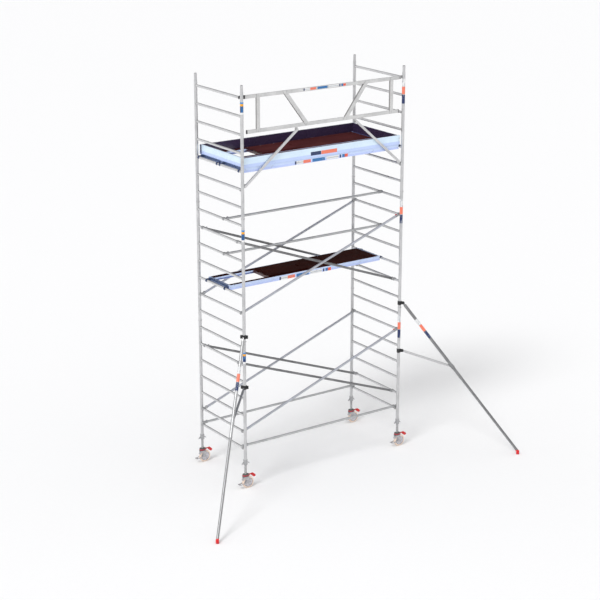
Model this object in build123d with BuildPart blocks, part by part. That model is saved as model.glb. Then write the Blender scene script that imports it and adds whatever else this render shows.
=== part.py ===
from build123d import *
from math import atan2, cos, degrees, hypot, sin, sqrt
import os

# Mobile access tower: two ends of three stacked ladder frames, braced and decked, on four castors,
# with a stabiliser at each near corner and a folding guard rail at the near side.
# Millimetres, +X along the tower, -Y the near side, +Z up, floor at Z = 0.
# The origin is on the floor at the middle of the footprint, stabilisers included.

os.makedirs("parts", exist_ok=True)

# Tower grid
tower_length = 3050.0  # between post axes along X
tower_width = 1300.0  # between post axes along Y
rung_pitch = 280.0
rungs_per_frame = 7
storeys = 3
first_rung = 670.0  # height of the lowest rung axis
lower_deck_rung = 10
upper_deck_rung = 17
guard_rung = 21

# Tubes, outer radius and wall
post_r, post_wall = 25.4, 2.0
rung_r, rung_wall = 19.0, 2.0
brace_r, brace_wall = 19.0, 1.8
post_below = 195.0  # post below the lowest rung of a frame
free_gap = 0.3  # free gap between pieces that slip over each other
slip = 0.05  # radial clearance of a running fit

# Frame joints, each a spigot in the top of a post
spigot_gap, spigot_wall = 1.4, 4.0
spigot_grip, spigot_rise = 90.0, 105.0
clip_rise, clip_wire = 26.0, 2.5

# Brace claws
claw_wall, claw_leg, claw_width = 9.7, 13.0, 34.0
fitting_r, fitting_start, fitting_length = 22.5, 22.0, 46.0
outer_brace, inner_brace = 60.0, 145.0  # from post axis to brace axis, along the rung
trigger_size = (28.0, 11.0, 9.0)
base_offset, base_lift = 49.0, 40.0  # base braces, from post axis and above the rung axis

# Platforms
platform_edge = 40.0  # from a post axis to the upper platforms' outer edge
platform_gap = 10.0  # between the two upper platforms
beam_flange = 5.0
lower_platform_y = 140.0  # middle of the lower platform from the tower's middle
deck_rise = 45.0  # rung axis to walking surface
beam_height, beam_width, beam_lip = 75.0, 34.0, 6.0
end_beam_inset, end_beam_width = 85.0, 38.0  # rung axis to the beam's inner face, thickness
end_beam_height = 58.0
ply = 10.0
hook_inset, hook_width, hook_wall = 35.0, 30.0, 10.0
hatch_margin, hatch_hinge_x = 70.5, -675.0
hatch_gap, hatch_lift = 3.0, 0.5
hinge_r, hinge_pin_r, hinge_edge = 6.0, 3.0, 8.0
hinge_knuckle = 60.0
hinge_lug_inset, hinge_lug_width = 24.0, 24.0
hatch_rest = 1.0  # lid's underside to its ledges when shut, less the lift
finger_slot = (96.0, 32.0)
hatch_cross_x = (-300.0, 180.0, 620.0, 1060.0)
plain_cross_x = (-960.0, -480.0, 0.0, 480.0, 960.0)
ledge_width, ledge_height = 25.0, 20.0
cross_width, cross_height = 40.0, 39.0

# Toe boards
toe_height, toe_thick, toe_overhang = 150.0, 16.0, 7.0
toe_round = 3.0
toe_end_inset = 55.0  # rung axis to the end boards' outer face
toe_long_inset = 31.0  # rung axis to the long boards' ends

# Hand rails beside the lower platform
hand_rail_y = -120.0
hand_rail_rungs = (12, 14)

# Guard rail frame, a flat frame of rectangular tubes just inside the near posts
rail_deep, rail_thick = 55.0, 25.0
rail_post_gap = 2.2  # between the rails and the near posts
rail_top_inset = 80.0  # rung axis to the top rail's ends
rail_bottom_insets = (116.0, 79.0)  # rung axis to the bottom rail's left and right ends
bar_deep, bar_lap = 60.0, 6.0  # bars between the rails, and how far they stand out in front
rail_bottom_rung = 19.1
rail_shift = 45.0  # bars and props, towards +X
upright_inset = 265.0
vee_top_x, vee_bottom_x = 747.0, 384.0
prop_deep, prop_thick, prop_gap = 38.0, 20.0, 6.0
prop_x, prop_drop, prop_rung = 560.0, 62.0, 16
prop_bolt_r = 5.0
prop_short = 64.0  # end of the prop's tube before the rung axis
prop_claw_clear, prop_claw_wall = 1.6, 9.0
cap_length = 12.0

# Castors
wheel_r, wheel_width, rim_r = 100.0, 46.0, 76.0
wheel_trail = 40.0
axle_r, axle_nut = 8.0, 7.0
leg_r, leg_wall = 19.0, 4.0
leg_length = 560.0
housing_length, housing_width = 100.0, 76.0
housing_top, housing_low, skirt_low = 245.0, 204.0, 166.0
cheek_gap, cheek_thick = 3.0, 6.0
stem_r, stem_length = 12.0, 30.0
nut_wall, nut_height, nut_cup = 7.3, 72.0, 14.0
wing_reach = 72.0
pedal_pivot_x, pedal_pivot_z, pedal_pin_r = 58.0, 226.0, 3.0
pedal_width, pedal_reach = 44.0, 106.0
pedal_boss, pedal_boss_r = 22.0, 8.0
tail_x, tail_z = 108.0, 82.0  # tread plate behind the wheel
hub_r, web_half = 24.0, 7.0

# Stabilisers, one at each near corner, in a vertical plane through the post at 45 degrees
upper_clamp_z, lower_clamp_z = 2540.0, 1710.0
pivot_r = 60.0  # from post axis to clamp bolt
foot_reach = 2030.0  # from post axis to foot
foot_r = 26.0
arm_joint_reach = 900.0
outer_r, outer_wall, outer_length = 25.0, 2.2, 1560.0
inner_gap, inner_wall, inner_grip = 0.6, 2.5, 900.0
arm_r, arm_wall = 19.0, 2.0
clamp_wall, clamp_height = 8.0, 60.0
lug_reach, lug_width, lug_split = 60.0, 26.0, 3.0
ear_r, ear_thick, ear_gap, bolt_r = 22.0, 8.0, 7.0, 6.0
tongue_half, tongue_start, tongue_reach = 6.0, 45.0, 75.0
tongue_r = 16.0
ball_height = 50.0
snap_pitch, snap_count, snap_r = 82.0, 16, 5.5

# Derived places
rung_bore = rung_r - rung_wall
post_bore = post_r - post_wall
spigot_r = post_bore - spigot_gap
spigot_bore = spigot_r - spigot_wall
claw_bore = rung_r + free_gap
claw_r = claw_bore + claw_wall
nut_r = post_r + free_gap + nut_wall
inner_r = outer_r - outer_wall - inner_gap
clamp_r = post_r + clamp_wall
platform_width = (tower_width - platform_gap) / 2 - platform_edge
hatch_width = platform_width - 2 * hatch_margin
hinge_lug_y = hatch_width / 2 - hinge_lug_inset
frame_height = rungs_per_frame * rung_pitch
castor_half = wheel_width / 2 + cheek_gap + cheek_thick + axle_nut
near_reach = tower_width / 2 + foot_reach / sqrt(2) + foot_r
far_reach = tower_width / 2 + max(castor_half, housing_width / 2)
tower_y = (near_reach - far_reach) / 2
y_near = tower_y - tower_width / 2
y_far = tower_y + tower_width / 2
x_post = tower_length / 2
end_beam_x = x_post - end_beam_inset
toe_end_x = x_post - toe_end_inset
toe_long_half = x_post - toe_long_inset
rail_top_half = x_post - rail_top_inset
rail_bottom_ends = (rail_bottom_insets[0] - x_post, x_post - rail_bottom_insets[1])
upright_x = x_post - upright_inset
rail_claw_length = rail_top_inset - rung_r - hook_wall - 1


def rung_z(number):
    return first_rung + (number - 1) * rung_pitch


def save(part, name):
    part.label = name
    export_step(part, f"parts/{name}.step")


def save_group(parts, name):
    """One node of several separate solids."""
    solids = [solid for part in parts for solid in part.solids()]
    save(Compound(children=solids), name)


# ---------------------------------------------------------------- ladder frames


def ladder_frame(name, x, storey):
    low_rung = rung_z(1 + storey * rungs_per_frame)
    foot = low_rung - post_below
    head = foot + frame_height
    feet = [(x, y_near), (x, y_far)]
    rungs_at = [(x, low_rung + n * rung_pitch) for n in range(rungs_per_frame)]

    with BuildPart() as posts:
        with BuildSketch(Plane.XY.offset(foot)):
            with Locations(*feet):
                Circle(post_r)
                Circle(post_bore, mode=Mode.SUBTRACT)
        extrude(amount=frame_height)

    with BuildPart() as rungs:
        with BuildSketch(Plane.XZ.offset(-y_near)):
            with Locations(*rungs_at):
                Circle(rung_r)
                Circle(rung_bore, mode=Mode.SUBTRACT)
        extrude(amount=-tower_width)
        with BuildSketch(Plane.XY.offset(foot)):
            with Locations(*feet):
                Circle(post_r)
        extrude(amount=frame_height, mode=Mode.SUBTRACT)

    with BuildPart() as spigots:
        with BuildSketch(Plane.XY.offset(head - spigot_grip)):
            with Locations(*feet):
                Circle(post_bore)
                Circle(spigot_bore, mode=Mode.SUBTRACT)
        extrude(amount=spigot_grip)
        with BuildSketch(Plane.XY.offset(head)):
            with Locations(*feet):
                Circle(spigot_r)
                Circle(spigot_bore, mode=Mode.SUBTRACT)
        extrude(amount=spigot_rise)
        rims = spigots.edges().filter_by(GeomType.CIRCLE).group_by(Axis.Z)[-1]
        chamfer(rims.sort_by(SortBy.RADIUS)[-2:], length=2.5)

    pieces = [posts.part, rungs.part, spigots.part]
    if storey:
        with BuildPart() as clips:
            ring = post_r + free_gap + clip_wire
            for _, y in feet:
                with Locations((x, y, foot + clip_rise)):
                    Torus(ring, clip_wire)
                with BuildSketch(Plane.YZ.offset(x + post_r + free_gap)):
                    with Locations((y, foot + clip_rise)):
                        Circle(2 * clip_wire)
                extrude(amount=5 * clip_wire)
        pieces.append(clips.part)
    save_group(pieces, name)


for side, x in (("left", -x_post), ("right", x_post)):
    for storey, level in enumerate(("lower", "middle", "upper")[:storeys]):
        ladder_frame(f"ladder_frame_{side}_{level}", x, storey)

# ---------------------------------------------------------------- braces and hand rails


def brace(name, y, start_rung, end_rung, lift=0.0):
    """Tube from a rung of the left end to a rung of the right end, with a claw over each."""
    ends = [(-x_post, rung_z(start_rung)), (x_post, rung_z(end_rung))]
    rise = ends[1][1] - ends[0][1]
    first = -fitting_r if lift else fitting_start
    run = hypot(tower_length, rise)
    along = Vector(tower_length, 0, rise).normalized()
    start = Vector(ends[0][0], y, ends[0][1] + lift)

    def station(distance, radius, length, mode=Mode.ADD):
        with BuildSketch(Plane(origin=start + along * distance, z_dir=along)) as section:
            Circle(radius)
        extrude(section.sketch, amount=length, mode=mode)

    with BuildPart() as tube:
        station(fitting_start, brace_r, run - 2 * fitting_start)
        station(first, fitting_r, fitting_start + fitting_length - first)
        station(run - fitting_start - fitting_length, fitting_r, fitting_start + fitting_length - first)
        with BuildSketch(Plane.XZ.offset(-y)):
            for x, z in ends:
                with Locations((x, z)):
                    Circle(claw_r)
                with Locations((x, z - claw_leg)):
                    Rectangle(2 * claw_r, claw_leg, align=(Align.CENTER, Align.MIN))
        extrude(amount=claw_width / 2, both=True)
        inset = fitting_start + fitting_length / 2
        station(inset, brace_r - brace_wall, run - 2 * inset, Mode.SUBTRACT)
        with BuildSketch(Plane.XZ.offset(-y)):
            for x, z in ends:
                with Locations((x, z)):
                    Circle(claw_bore)
                with Locations((x, z)):
                    Rectangle(2 * claw_bore, 2 * claw_r, align=(Align.CENTER, Align.MAX))
        extrude(amount=2 * claw_width, both=True, mode=Mode.SUBTRACT)
    save(tube.part, name)
    places = [start + along * s for s in (fitting_start + fitting_length / 2 + 14,)]
    places.append(start + along * (run - fitting_start - fitting_length / 2 - 14))
    return [(point, degrees(atan2(rise, tower_length))) for point in places]


near_outer, near_inner = y_near + outer_brace, y_near + inner_brace
far_outer, far_inner = y_far - outer_brace, y_far - inner_brace
brace_plan = [
    ("brace_near_lower_rising", near_outer, 2, 6),
    ("brace_near_lower_falling", near_inner, 6, 2),
    ("brace_near_upper_rising", near_outer, 9, 13),
    ("brace_near_upper_falling", near_inner, 13, 9),
    ("brace_far_lower_rising", far_outer, 2, 6),
    ("brace_far_lower_falling", far_inner, 6, 2),
    ("brace_far_upper_rising", far_outer, 9, 13),
    ("brace_far_upper_falling", far_inner, 13, 9),
    ("hand_rail_low", tower_y + hand_rail_y, hand_rail_rungs[0], hand_rail_rungs[0]),
    ("hand_rail_high", tower_y + hand_rail_y, hand_rail_rungs[1], hand_rail_rungs[1]),
]
trigger_places = []
for name, y, start_rung, end_rung in brace_plan:
    trigger_places += brace(name, y, start_rung, end_rung)
trigger_places += brace("base_brace_near", y_near + base_offset, 1, 1, base_lift)
trigger_places += brace("base_brace_far", y_far - base_offset, 1, 1, base_lift)

# Release triggers, a thumb piece on top of every claw fitting
with BuildPart() as triggers:
    for point, lean in trigger_places:
        thumb_plane = Plane(origin=point, x_dir=(1, 0, 0), z_dir=(0, 0, 1)).rotated((0, -lean, 0))
        with BuildSketch(thumb_plane.offset(fitting_r + free_gap)):
            RectangleRounded(trigger_size[0], trigger_size[1], 3)
        extrude(amount=trigger_size[2], taper=12)
save_group([triggers.part], "brace_triggers")

# ---------------------------------------------------------------- platforms


def hook_profile(side, root_x, z_rung):
    """Claw in the XZ plane: from a root face, over a rung, and down its outer side."""
    bore, reach = rung_r + free_gap, rung_r + free_gap + hook_wall
    with Locations((side * x_post, z_rung)):
        Circle(reach)
    with Locations((side * root_x, z_rung)):
        Rectangle(x_post - root_x, reach, align=(Align.MIN if side > 0 else Align.MAX, Align.MIN))
    with Locations((side * (x_post + bore + hook_wall / 2), z_rung)):
        Rectangle(hook_wall, hook_wall, align=(Align.CENTER, Align.MAX))
    with Locations((side * x_post, z_rung)):
        Circle(bore, mode=Mode.SUBTRACT)
        Rectangle(2 * bore, 2 * reach, align=(Align.CENTER, Align.MAX), mode=Mode.SUBTRACT)
    with Locations((side * (x_post - bore), z_rung)):
        Rectangle(2 * hook_wall, 2 * reach, align=(Align.CENTER, Align.MAX), mode=Mode.SUBTRACT)


def beams_along(x_from, length, low, high, top):
    """Two channel beams whose lips hold the deck's edges."""
    with BuildPart() as beams:
        with BuildSketch(Plane.YZ.offset(x_from)):
            for edge, inward in ((low, 1), (high, -1)):
                lip, inner = edge + inward * beam_lip, edge + inward * beam_width
                with BuildLine():
                    Polyline(
                        (edge, top),
                        (lip, top),
                        (lip, top - ply),
                        (inner, top - ply),
                        (inner, top - ply - beam_flange),
                        (lip, top - ply - beam_flange),
                        (lip, top - beam_height + beam_flange),
                        (inner, top - beam_height + beam_flange),
                        (inner, top - beam_height),
                        (edge, top - beam_height),
                        close=True,
                    )
                make_face()
        extrude(amount=length)
    return beams.part


def bars_across(spots, low, high, top):
    """Hollow cross members between the beams, their upper faces at top."""
    with BuildPart() as bars:
        with BuildSketch(Plane.XZ.offset(-low)):
            with Locations(*[(x, top - cross_height / 2) for x in spots]):
                Rectangle(cross_width, cross_height)
                Rectangle(cross_width - 6, cross_height - 6, mode=Mode.SUBTRACT)
        extrude(amount=low - high)
    return bars.part


def end_beams(low, high, top):
    middle = end_beam_x + end_beam_width / 2
    with BuildPart() as ends:
        for face, depth, grow in ((top, end_beam_height, 0.0), (top, ply, beam_width - beam_lip)):
            with BuildSketch(Plane.XZ.offset(-(low + beam_width - grow))):
                with Locations((-middle, face), (middle, face)):
                    Rectangle(end_beam_width, depth, align=(Align.CENTER, Align.MAX))
            extrude(amount=-(high - low - 2 * beam_width + 2 * grow))
    return ends.part


def hooks_over(rung, low, high):
    with BuildPart() as hooks:
        for y in (low + hook_inset, high - hook_inset):
            with BuildSketch(Plane.XZ.offset(-y)):
                for side in (-1, 1):
                    hook_profile(side, end_beam_x + end_beam_width, rung_z(rung))
            extrude(amount=hook_width / 2, both=True)
    return hooks.part


def hatch_fittings(y_mid, top):
    """Ledges along the hatch's sides, and the hinge rod on its three lugs."""
    bar_top = top - ply - hatch_rest
    with BuildPart() as ledges:
        with BuildSketch(Plane.YZ.offset(-end_beam_x)):
            with Locations((y_mid - hatch_width / 2, bar_top), (y_mid + hatch_width / 2, bar_top)):
                Rectangle(ledge_width, ledge_height, align=(Align.CENTER, Align.MAX))
        extrude(amount=end_beam_x + hatch_hinge_x - hinge_r)
    with BuildPart() as rod:
        with BuildSketch(Plane.XZ.offset(-y_mid)):
            with Locations((hatch_hinge_x, top)):
                Circle(hinge_pin_r)
        extrude(amount=hinge_lug_y + hinge_lug_width / 2, both=True)
        for y in (y_mid - hinge_lug_y, y_mid, y_mid + hinge_lug_y):
            with BuildSketch(Plane.XZ.offset(-y)):
                with Locations((hatch_hinge_x, top)):
                    Circle(hinge_r)
                    Rectangle(2 * hinge_r, ply + hatch_rest, align=(Align.CENTER, Align.MAX))
            extrude(amount=hinge_lug_width / 2, both=True)
    return [ledges.part, rod.part]


def platform(name, y_mid, rung, has_hatch):
    top = rung_z(rung) + deck_rise
    low, high = y_mid - platform_width / 2, y_mid + platform_width / 2
    beam_half = end_beam_x + end_beam_width
    pieces = [
        beams_along(-beam_half, 2 * beam_half, low, high, top),
        end_beams(low, high, top),
        hooks_over(rung, low, high),
    ]
    inner_low, inner_high = low + beam_width, high - beam_width
    if has_hatch:
        hinge_bar = [hatch_hinge_x - hinge_r + cross_width / 2]
        pieces.append(bars_across(hinge_bar, inner_low, inner_high, top - ply - hatch_rest))
        pieces.append(bars_across(hatch_cross_x, inner_low, inner_high, top - ply))
        pieces += hatch_fittings(y_mid, top)
    else:
        pieces.append(bars_across(plain_cross_x, inner_low, inner_high, top - ply))
    save_group(pieces, f"{name}_frame")

    with BuildPart() as deck:
        with BuildSketch(Plane.XY.offset(top - ply)):
            with Locations((0, y_mid)):
                Rectangle(2 * end_beam_x, platform_width - 2 * beam_lip)
            if has_hatch:
                with Locations((hatch_hinge_x + hinge_edge, y_mid)):
                    Rectangle(tower_length, hatch_width, align=(Align.MAX, Align.CENTER), mode=Mode.SUBTRACT)
        extrude(amount=ply)
    save_group([deck.part], f"{name}_deck")
    if has_hatch:
        hatch_lid(name, y_mid, top)


def hatch_lid(name, y_mid, top):
    """Lid folded over on its hinge, lying on the deck with its underside up."""
    under = top + hatch_lift
    lid_length = end_beam_x + hatch_hinge_x - hinge_edge - hatch_gap
    with BuildPart() as lid:
        with BuildSketch(Plane.XY.offset(under)):
            with Locations((hatch_hinge_x + hinge_edge, y_mid)):
                Rectangle(lid_length, hatch_width - 2 * hatch_gap, align=(Align.MIN, Align.CENTER))
            with Locations((hatch_hinge_x + hinge_edge + lid_length - finger_slot[1] - 40, y_mid)):
                SlotOverall(finger_slot[0], finger_slot[1], rotation=90, mode=Mode.SUBTRACT)
        extrude(amount=ply)
        far_corners = lid.edges().filter_by(Axis.Z).group_by(Axis.X)[-1]
        fillet(far_corners, radius=14)
        for y in (y_mid - hinge_lug_y / 2, y_mid + hinge_lug_y / 2):
            with BuildSketch(Plane.XZ.offset(-y)):
                with Locations((hatch_hinge_x, top)):
                    Circle(hinge_r)
                with Locations((hatch_hinge_x, under)):
                    Rectangle(hinge_edge, hinge_r - hatch_lift, align=(Align.MIN, Align.MIN))
            extrude(amount=hinge_knuckle / 2, both=True)
        with BuildSketch(Plane.XZ.offset(-y_mid)):
            with Locations((hatch_hinge_x, top)):
                Circle(hinge_pin_r + slip)
        extrude(amount=platform_width, both=True, mode=Mode.SUBTRACT)
    lid.part.label = f"{name}_hatch_lid"
    export_step(lid.part, f"parts/{name}_hatch_lid.step")


upper_offset = (platform_width + platform_gap) / 2
platform("lower_platform", tower_y + lower_platform_y, lower_deck_rung, True)
platform("upper_platform_near", tower_y - upper_offset, upper_deck_rung, False)
platform("upper_platform_far", tower_y + upper_offset, upper_deck_rung, True)

# ---------------------------------------------------------------- toe boards

toe_foot = rung_z(upper_deck_rung) + deck_rise
toe_outer = upper_offset + platform_width / 2 + toe_overhang


def toe_profile(face, outward):
    """Board section standing at Z = toe_foot, outer face at face, its edges rounded."""
    inner = face - outward * toe_thick
    with Locations(((face + inner) / 2, toe_foot + toe_height / 2)):
        RectangleRounded(toe_thick, toe_height, toe_round)


for name, outward in (("near", -1), ("far", 1)):
    with BuildPart() as board:
        with BuildSketch(Plane.YZ.offset(-toe_long_half)):
            toe_profile(tower_y + outward * toe_outer, outward)
        extrude(amount=2 * toe_long_half)
    board.part.label = f"toe_board_{name}"
    export_step(board.part, f"parts/toe_board_{name}.step")

toe_inner = toe_outer - toe_thick - free_gap
for name, outward in (("left", -1), ("right", 1)):
    with BuildPart() as board:
        with BuildSketch(Plane.XZ.offset(-(tower_y - toe_inner))):
            toe_profile(outward * toe_end_x, outward)
        extrude(amount=-2 * toe_inner)
    board.part.label = f"toe_board_{name}"
    export_step(board.part, f"parts/toe_board_{name}.step")

# ---------------------------------------------------------------- guard rail frame and its props

rail_face = y_near + post_r + rail_post_gap  # outer face of the rails
rail_plane = Plane.XZ.offset(-rail_face)
rail_top_z = rung_z(guard_rung)
rail_bottom_z = rung_z(rail_bottom_rung)
rail_gap_low = rail_bottom_z + rail_deep / 2
rail_gap_high = rail_top_z - rail_deep / 2
prop_pivot_z = rail_bottom_z - prop_drop
prop_face = rail_face - prop_gap  # inner face of the props
prop_pivots = {-1: rail_shift - prop_x, 1: rail_shift + prop_x}
prop_target = (x_post, rung_z(prop_rung))


def hollow_rail(left, right, z):
    with BuildPart() as rail:
        with BuildSketch(Plane.YZ.offset(left)):
            with Locations((rail_face + rail_thick / 2, z)):
                RectangleRounded(rail_thick, rail_deep, 4)
                RectangleRounded(rail_thick - 4, rail_deep - 4, 2, mode=Mode.SUBTRACT)
        extrude(amount=right - left)
    return rail.part


def slanted_bar(x_low, x_high):
    """Bar between the two rails, its front standing out and lapped over their faces."""
    rise = rail_gap_high - rail_gap_low
    slope = (x_high - x_low) / rise
    half = bar_deep / 2 * hypot(1, slope)
    with BuildPart() as bar:
        for reach, depth in ((0.0, -rail_thick), (rail_deep - bar_lap, bar_lap)):
            with BuildSketch(rail_plane):
                with BuildLine():
                    Polyline(
                        (x_low - slope * reach - half, rail_gap_low - reach),
                        (x_low - slope * reach + half, rail_gap_low - reach),
                        (x_high + slope * reach + half, rail_gap_high + reach),
                        (x_high + slope * reach - half, rail_gap_high + reach),
                        close=True,
                    )
                make_face()
            extrude(amount=depth)
    return bar.part


with BuildPart() as rail_claws:
    with BuildSketch(Plane.XZ.offset(-rail_face - 0.5)):
        for side in (-1, 1):
            hook_profile(side, rail_top_half, rail_top_z)
            with Locations((side * (rail_top_half + rail_claw_length / 2), rail_top_z)):
                Rectangle(rail_claw_length, rail_deep - 5)
    extrude(amount=-(rail_thick - 1))

with BuildPart() as rail_caps:
    with BuildSketch(Plane.YZ.offset(rail_bottom_ends[0] - cap_length)):
        with Locations((rail_face + rail_thick / 2, rail_bottom_z)):
            RectangleRounded(rail_thick + 1, rail_deep + 2, 5)
    extrude(amount=cap_length)
    with BuildSketch(Plane.YZ.offset(rail_bottom_ends[1])):
        with Locations((rail_face + rail_thick / 2, rail_bottom_z)):
            RectangleRounded(rail_thick + 1, rail_deep + 2, 5)
    extrude(amount=cap_length)

with BuildPart() as rail_lugs:
    for side in (-1, 1):
        with BuildSketch(rail_plane):
            with Locations((prop_pivots[side], prop_pivot_z)):
                Circle(prop_deep / 2)
            with Locations((prop_pivots[side], rail_bottom_z - rail_deep / 2)):
                Rectangle(prop_deep, prop_drop - rail_deep / 2, align=(Align.CENTER, Align.MAX))
        extrude(amount=-rail_thick)
        with BuildSketch(rail_plane):
            with Locations((prop_pivots[side], prop_pivot_z)):
                Circle(prop_bolt_r)
        extrude(amount=prop_gap + prop_thick + free_gap)
        with BuildSketch(rail_plane.offset(prop_gap + prop_thick + free_gap)):
            with Locations((prop_pivots[side], prop_pivot_z)):
                RegularPolygon(2 * prop_bolt_r, 6)
        extrude(amount=prop_bolt_r)

save_group(
    [
        hollow_rail(-rail_top_half, rail_top_half, rail_top_z),
        hollow_rail(*rail_bottom_ends, rail_bottom_z),
        slanted_bar(rail_shift - upright_x, rail_shift - upright_x),
        slanted_bar(rail_shift + upright_x, rail_shift + upright_x),
        slanted_bar(rail_shift - vee_bottom_x, rail_shift - vee_top_x),
        slanted_bar(rail_shift + vee_bottom_x, rail_shift + vee_top_x),
        rail_claws.part,
        rail_caps.part,
        rail_lugs.part,
    ],
    "guard_rail_frame",
)

for name, side in (("left", -1), ("right", 1)):
    away = Vector(side * prop_target[0] - prop_pivots[side], prop_target[1] - prop_pivot_z, 0)
    slope = degrees(atan2(away.Y, away.X))
    throat = -side * degrees(atan2(abs(away.Y), abs(away.X)))
    bore = rung_r + prop_claw_clear
    with BuildPart() as prop:
        with BuildSketch(Plane.XZ.offset(-prop_face)):
            with Locations(Location((prop_pivots[side], prop_pivot_z, 0), (0, 0, slope))):
                Circle(prop_deep / 2)
                Rectangle(away.length - prop_short, prop_deep, align=(Align.MIN, Align.CENTER))
        extrude(amount=prop_thick)
        with BuildSketch(Plane.XZ.offset(-prop_face - prop_gap)):
            with Locations(Location((side * prop_target[0], prop_target[1], 0), (0, 0, slope))):
                with Locations((-prop_short - 40, 0)):
                    Rectangle(48, 0.8 * prop_deep, align=(Align.MIN, Align.CENTER))
        extrude(amount=prop_gap + prop_thick)
        with BuildSketch(Plane.XZ.offset(-prop_face - prop_gap)):
            with Locations(Location((side * prop_target[0], prop_target[1], 0), (0, 0, slope))):
                Circle(bore + prop_claw_wall)
                with Locations((-prop_short - 40, 0)):
                    Rectangle(prop_short + 30, 0.8 * prop_deep, align=(Align.MIN, Align.CENTER))
        extrude(amount=-(rail_thick - 1))
        with BuildSketch(Plane.XZ.offset(-prop_face - prop_gap)):
            with Locations((side * prop_target[0], prop_target[1])):
                Circle(bore)
                Rectangle(2 * bore, 4 * bore, rotation=throat, align=(Align.CENTER, Align.MIN))
        extrude(amount=-rail_thick, mode=Mode.SUBTRACT)
        with BuildSketch(Plane.XZ.offset(-prop_face)):
            with Locations((prop_pivots[side], prop_pivot_z)):
                Circle(prop_bolt_r + slip)
        extrude(amount=prop_thick, mode=Mode.SUBTRACT)
    save(prop.part, f"guard_rail_prop_{name}")

# ---------------------------------------------------------------- castors

post_foot = first_rung - post_below


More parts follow.
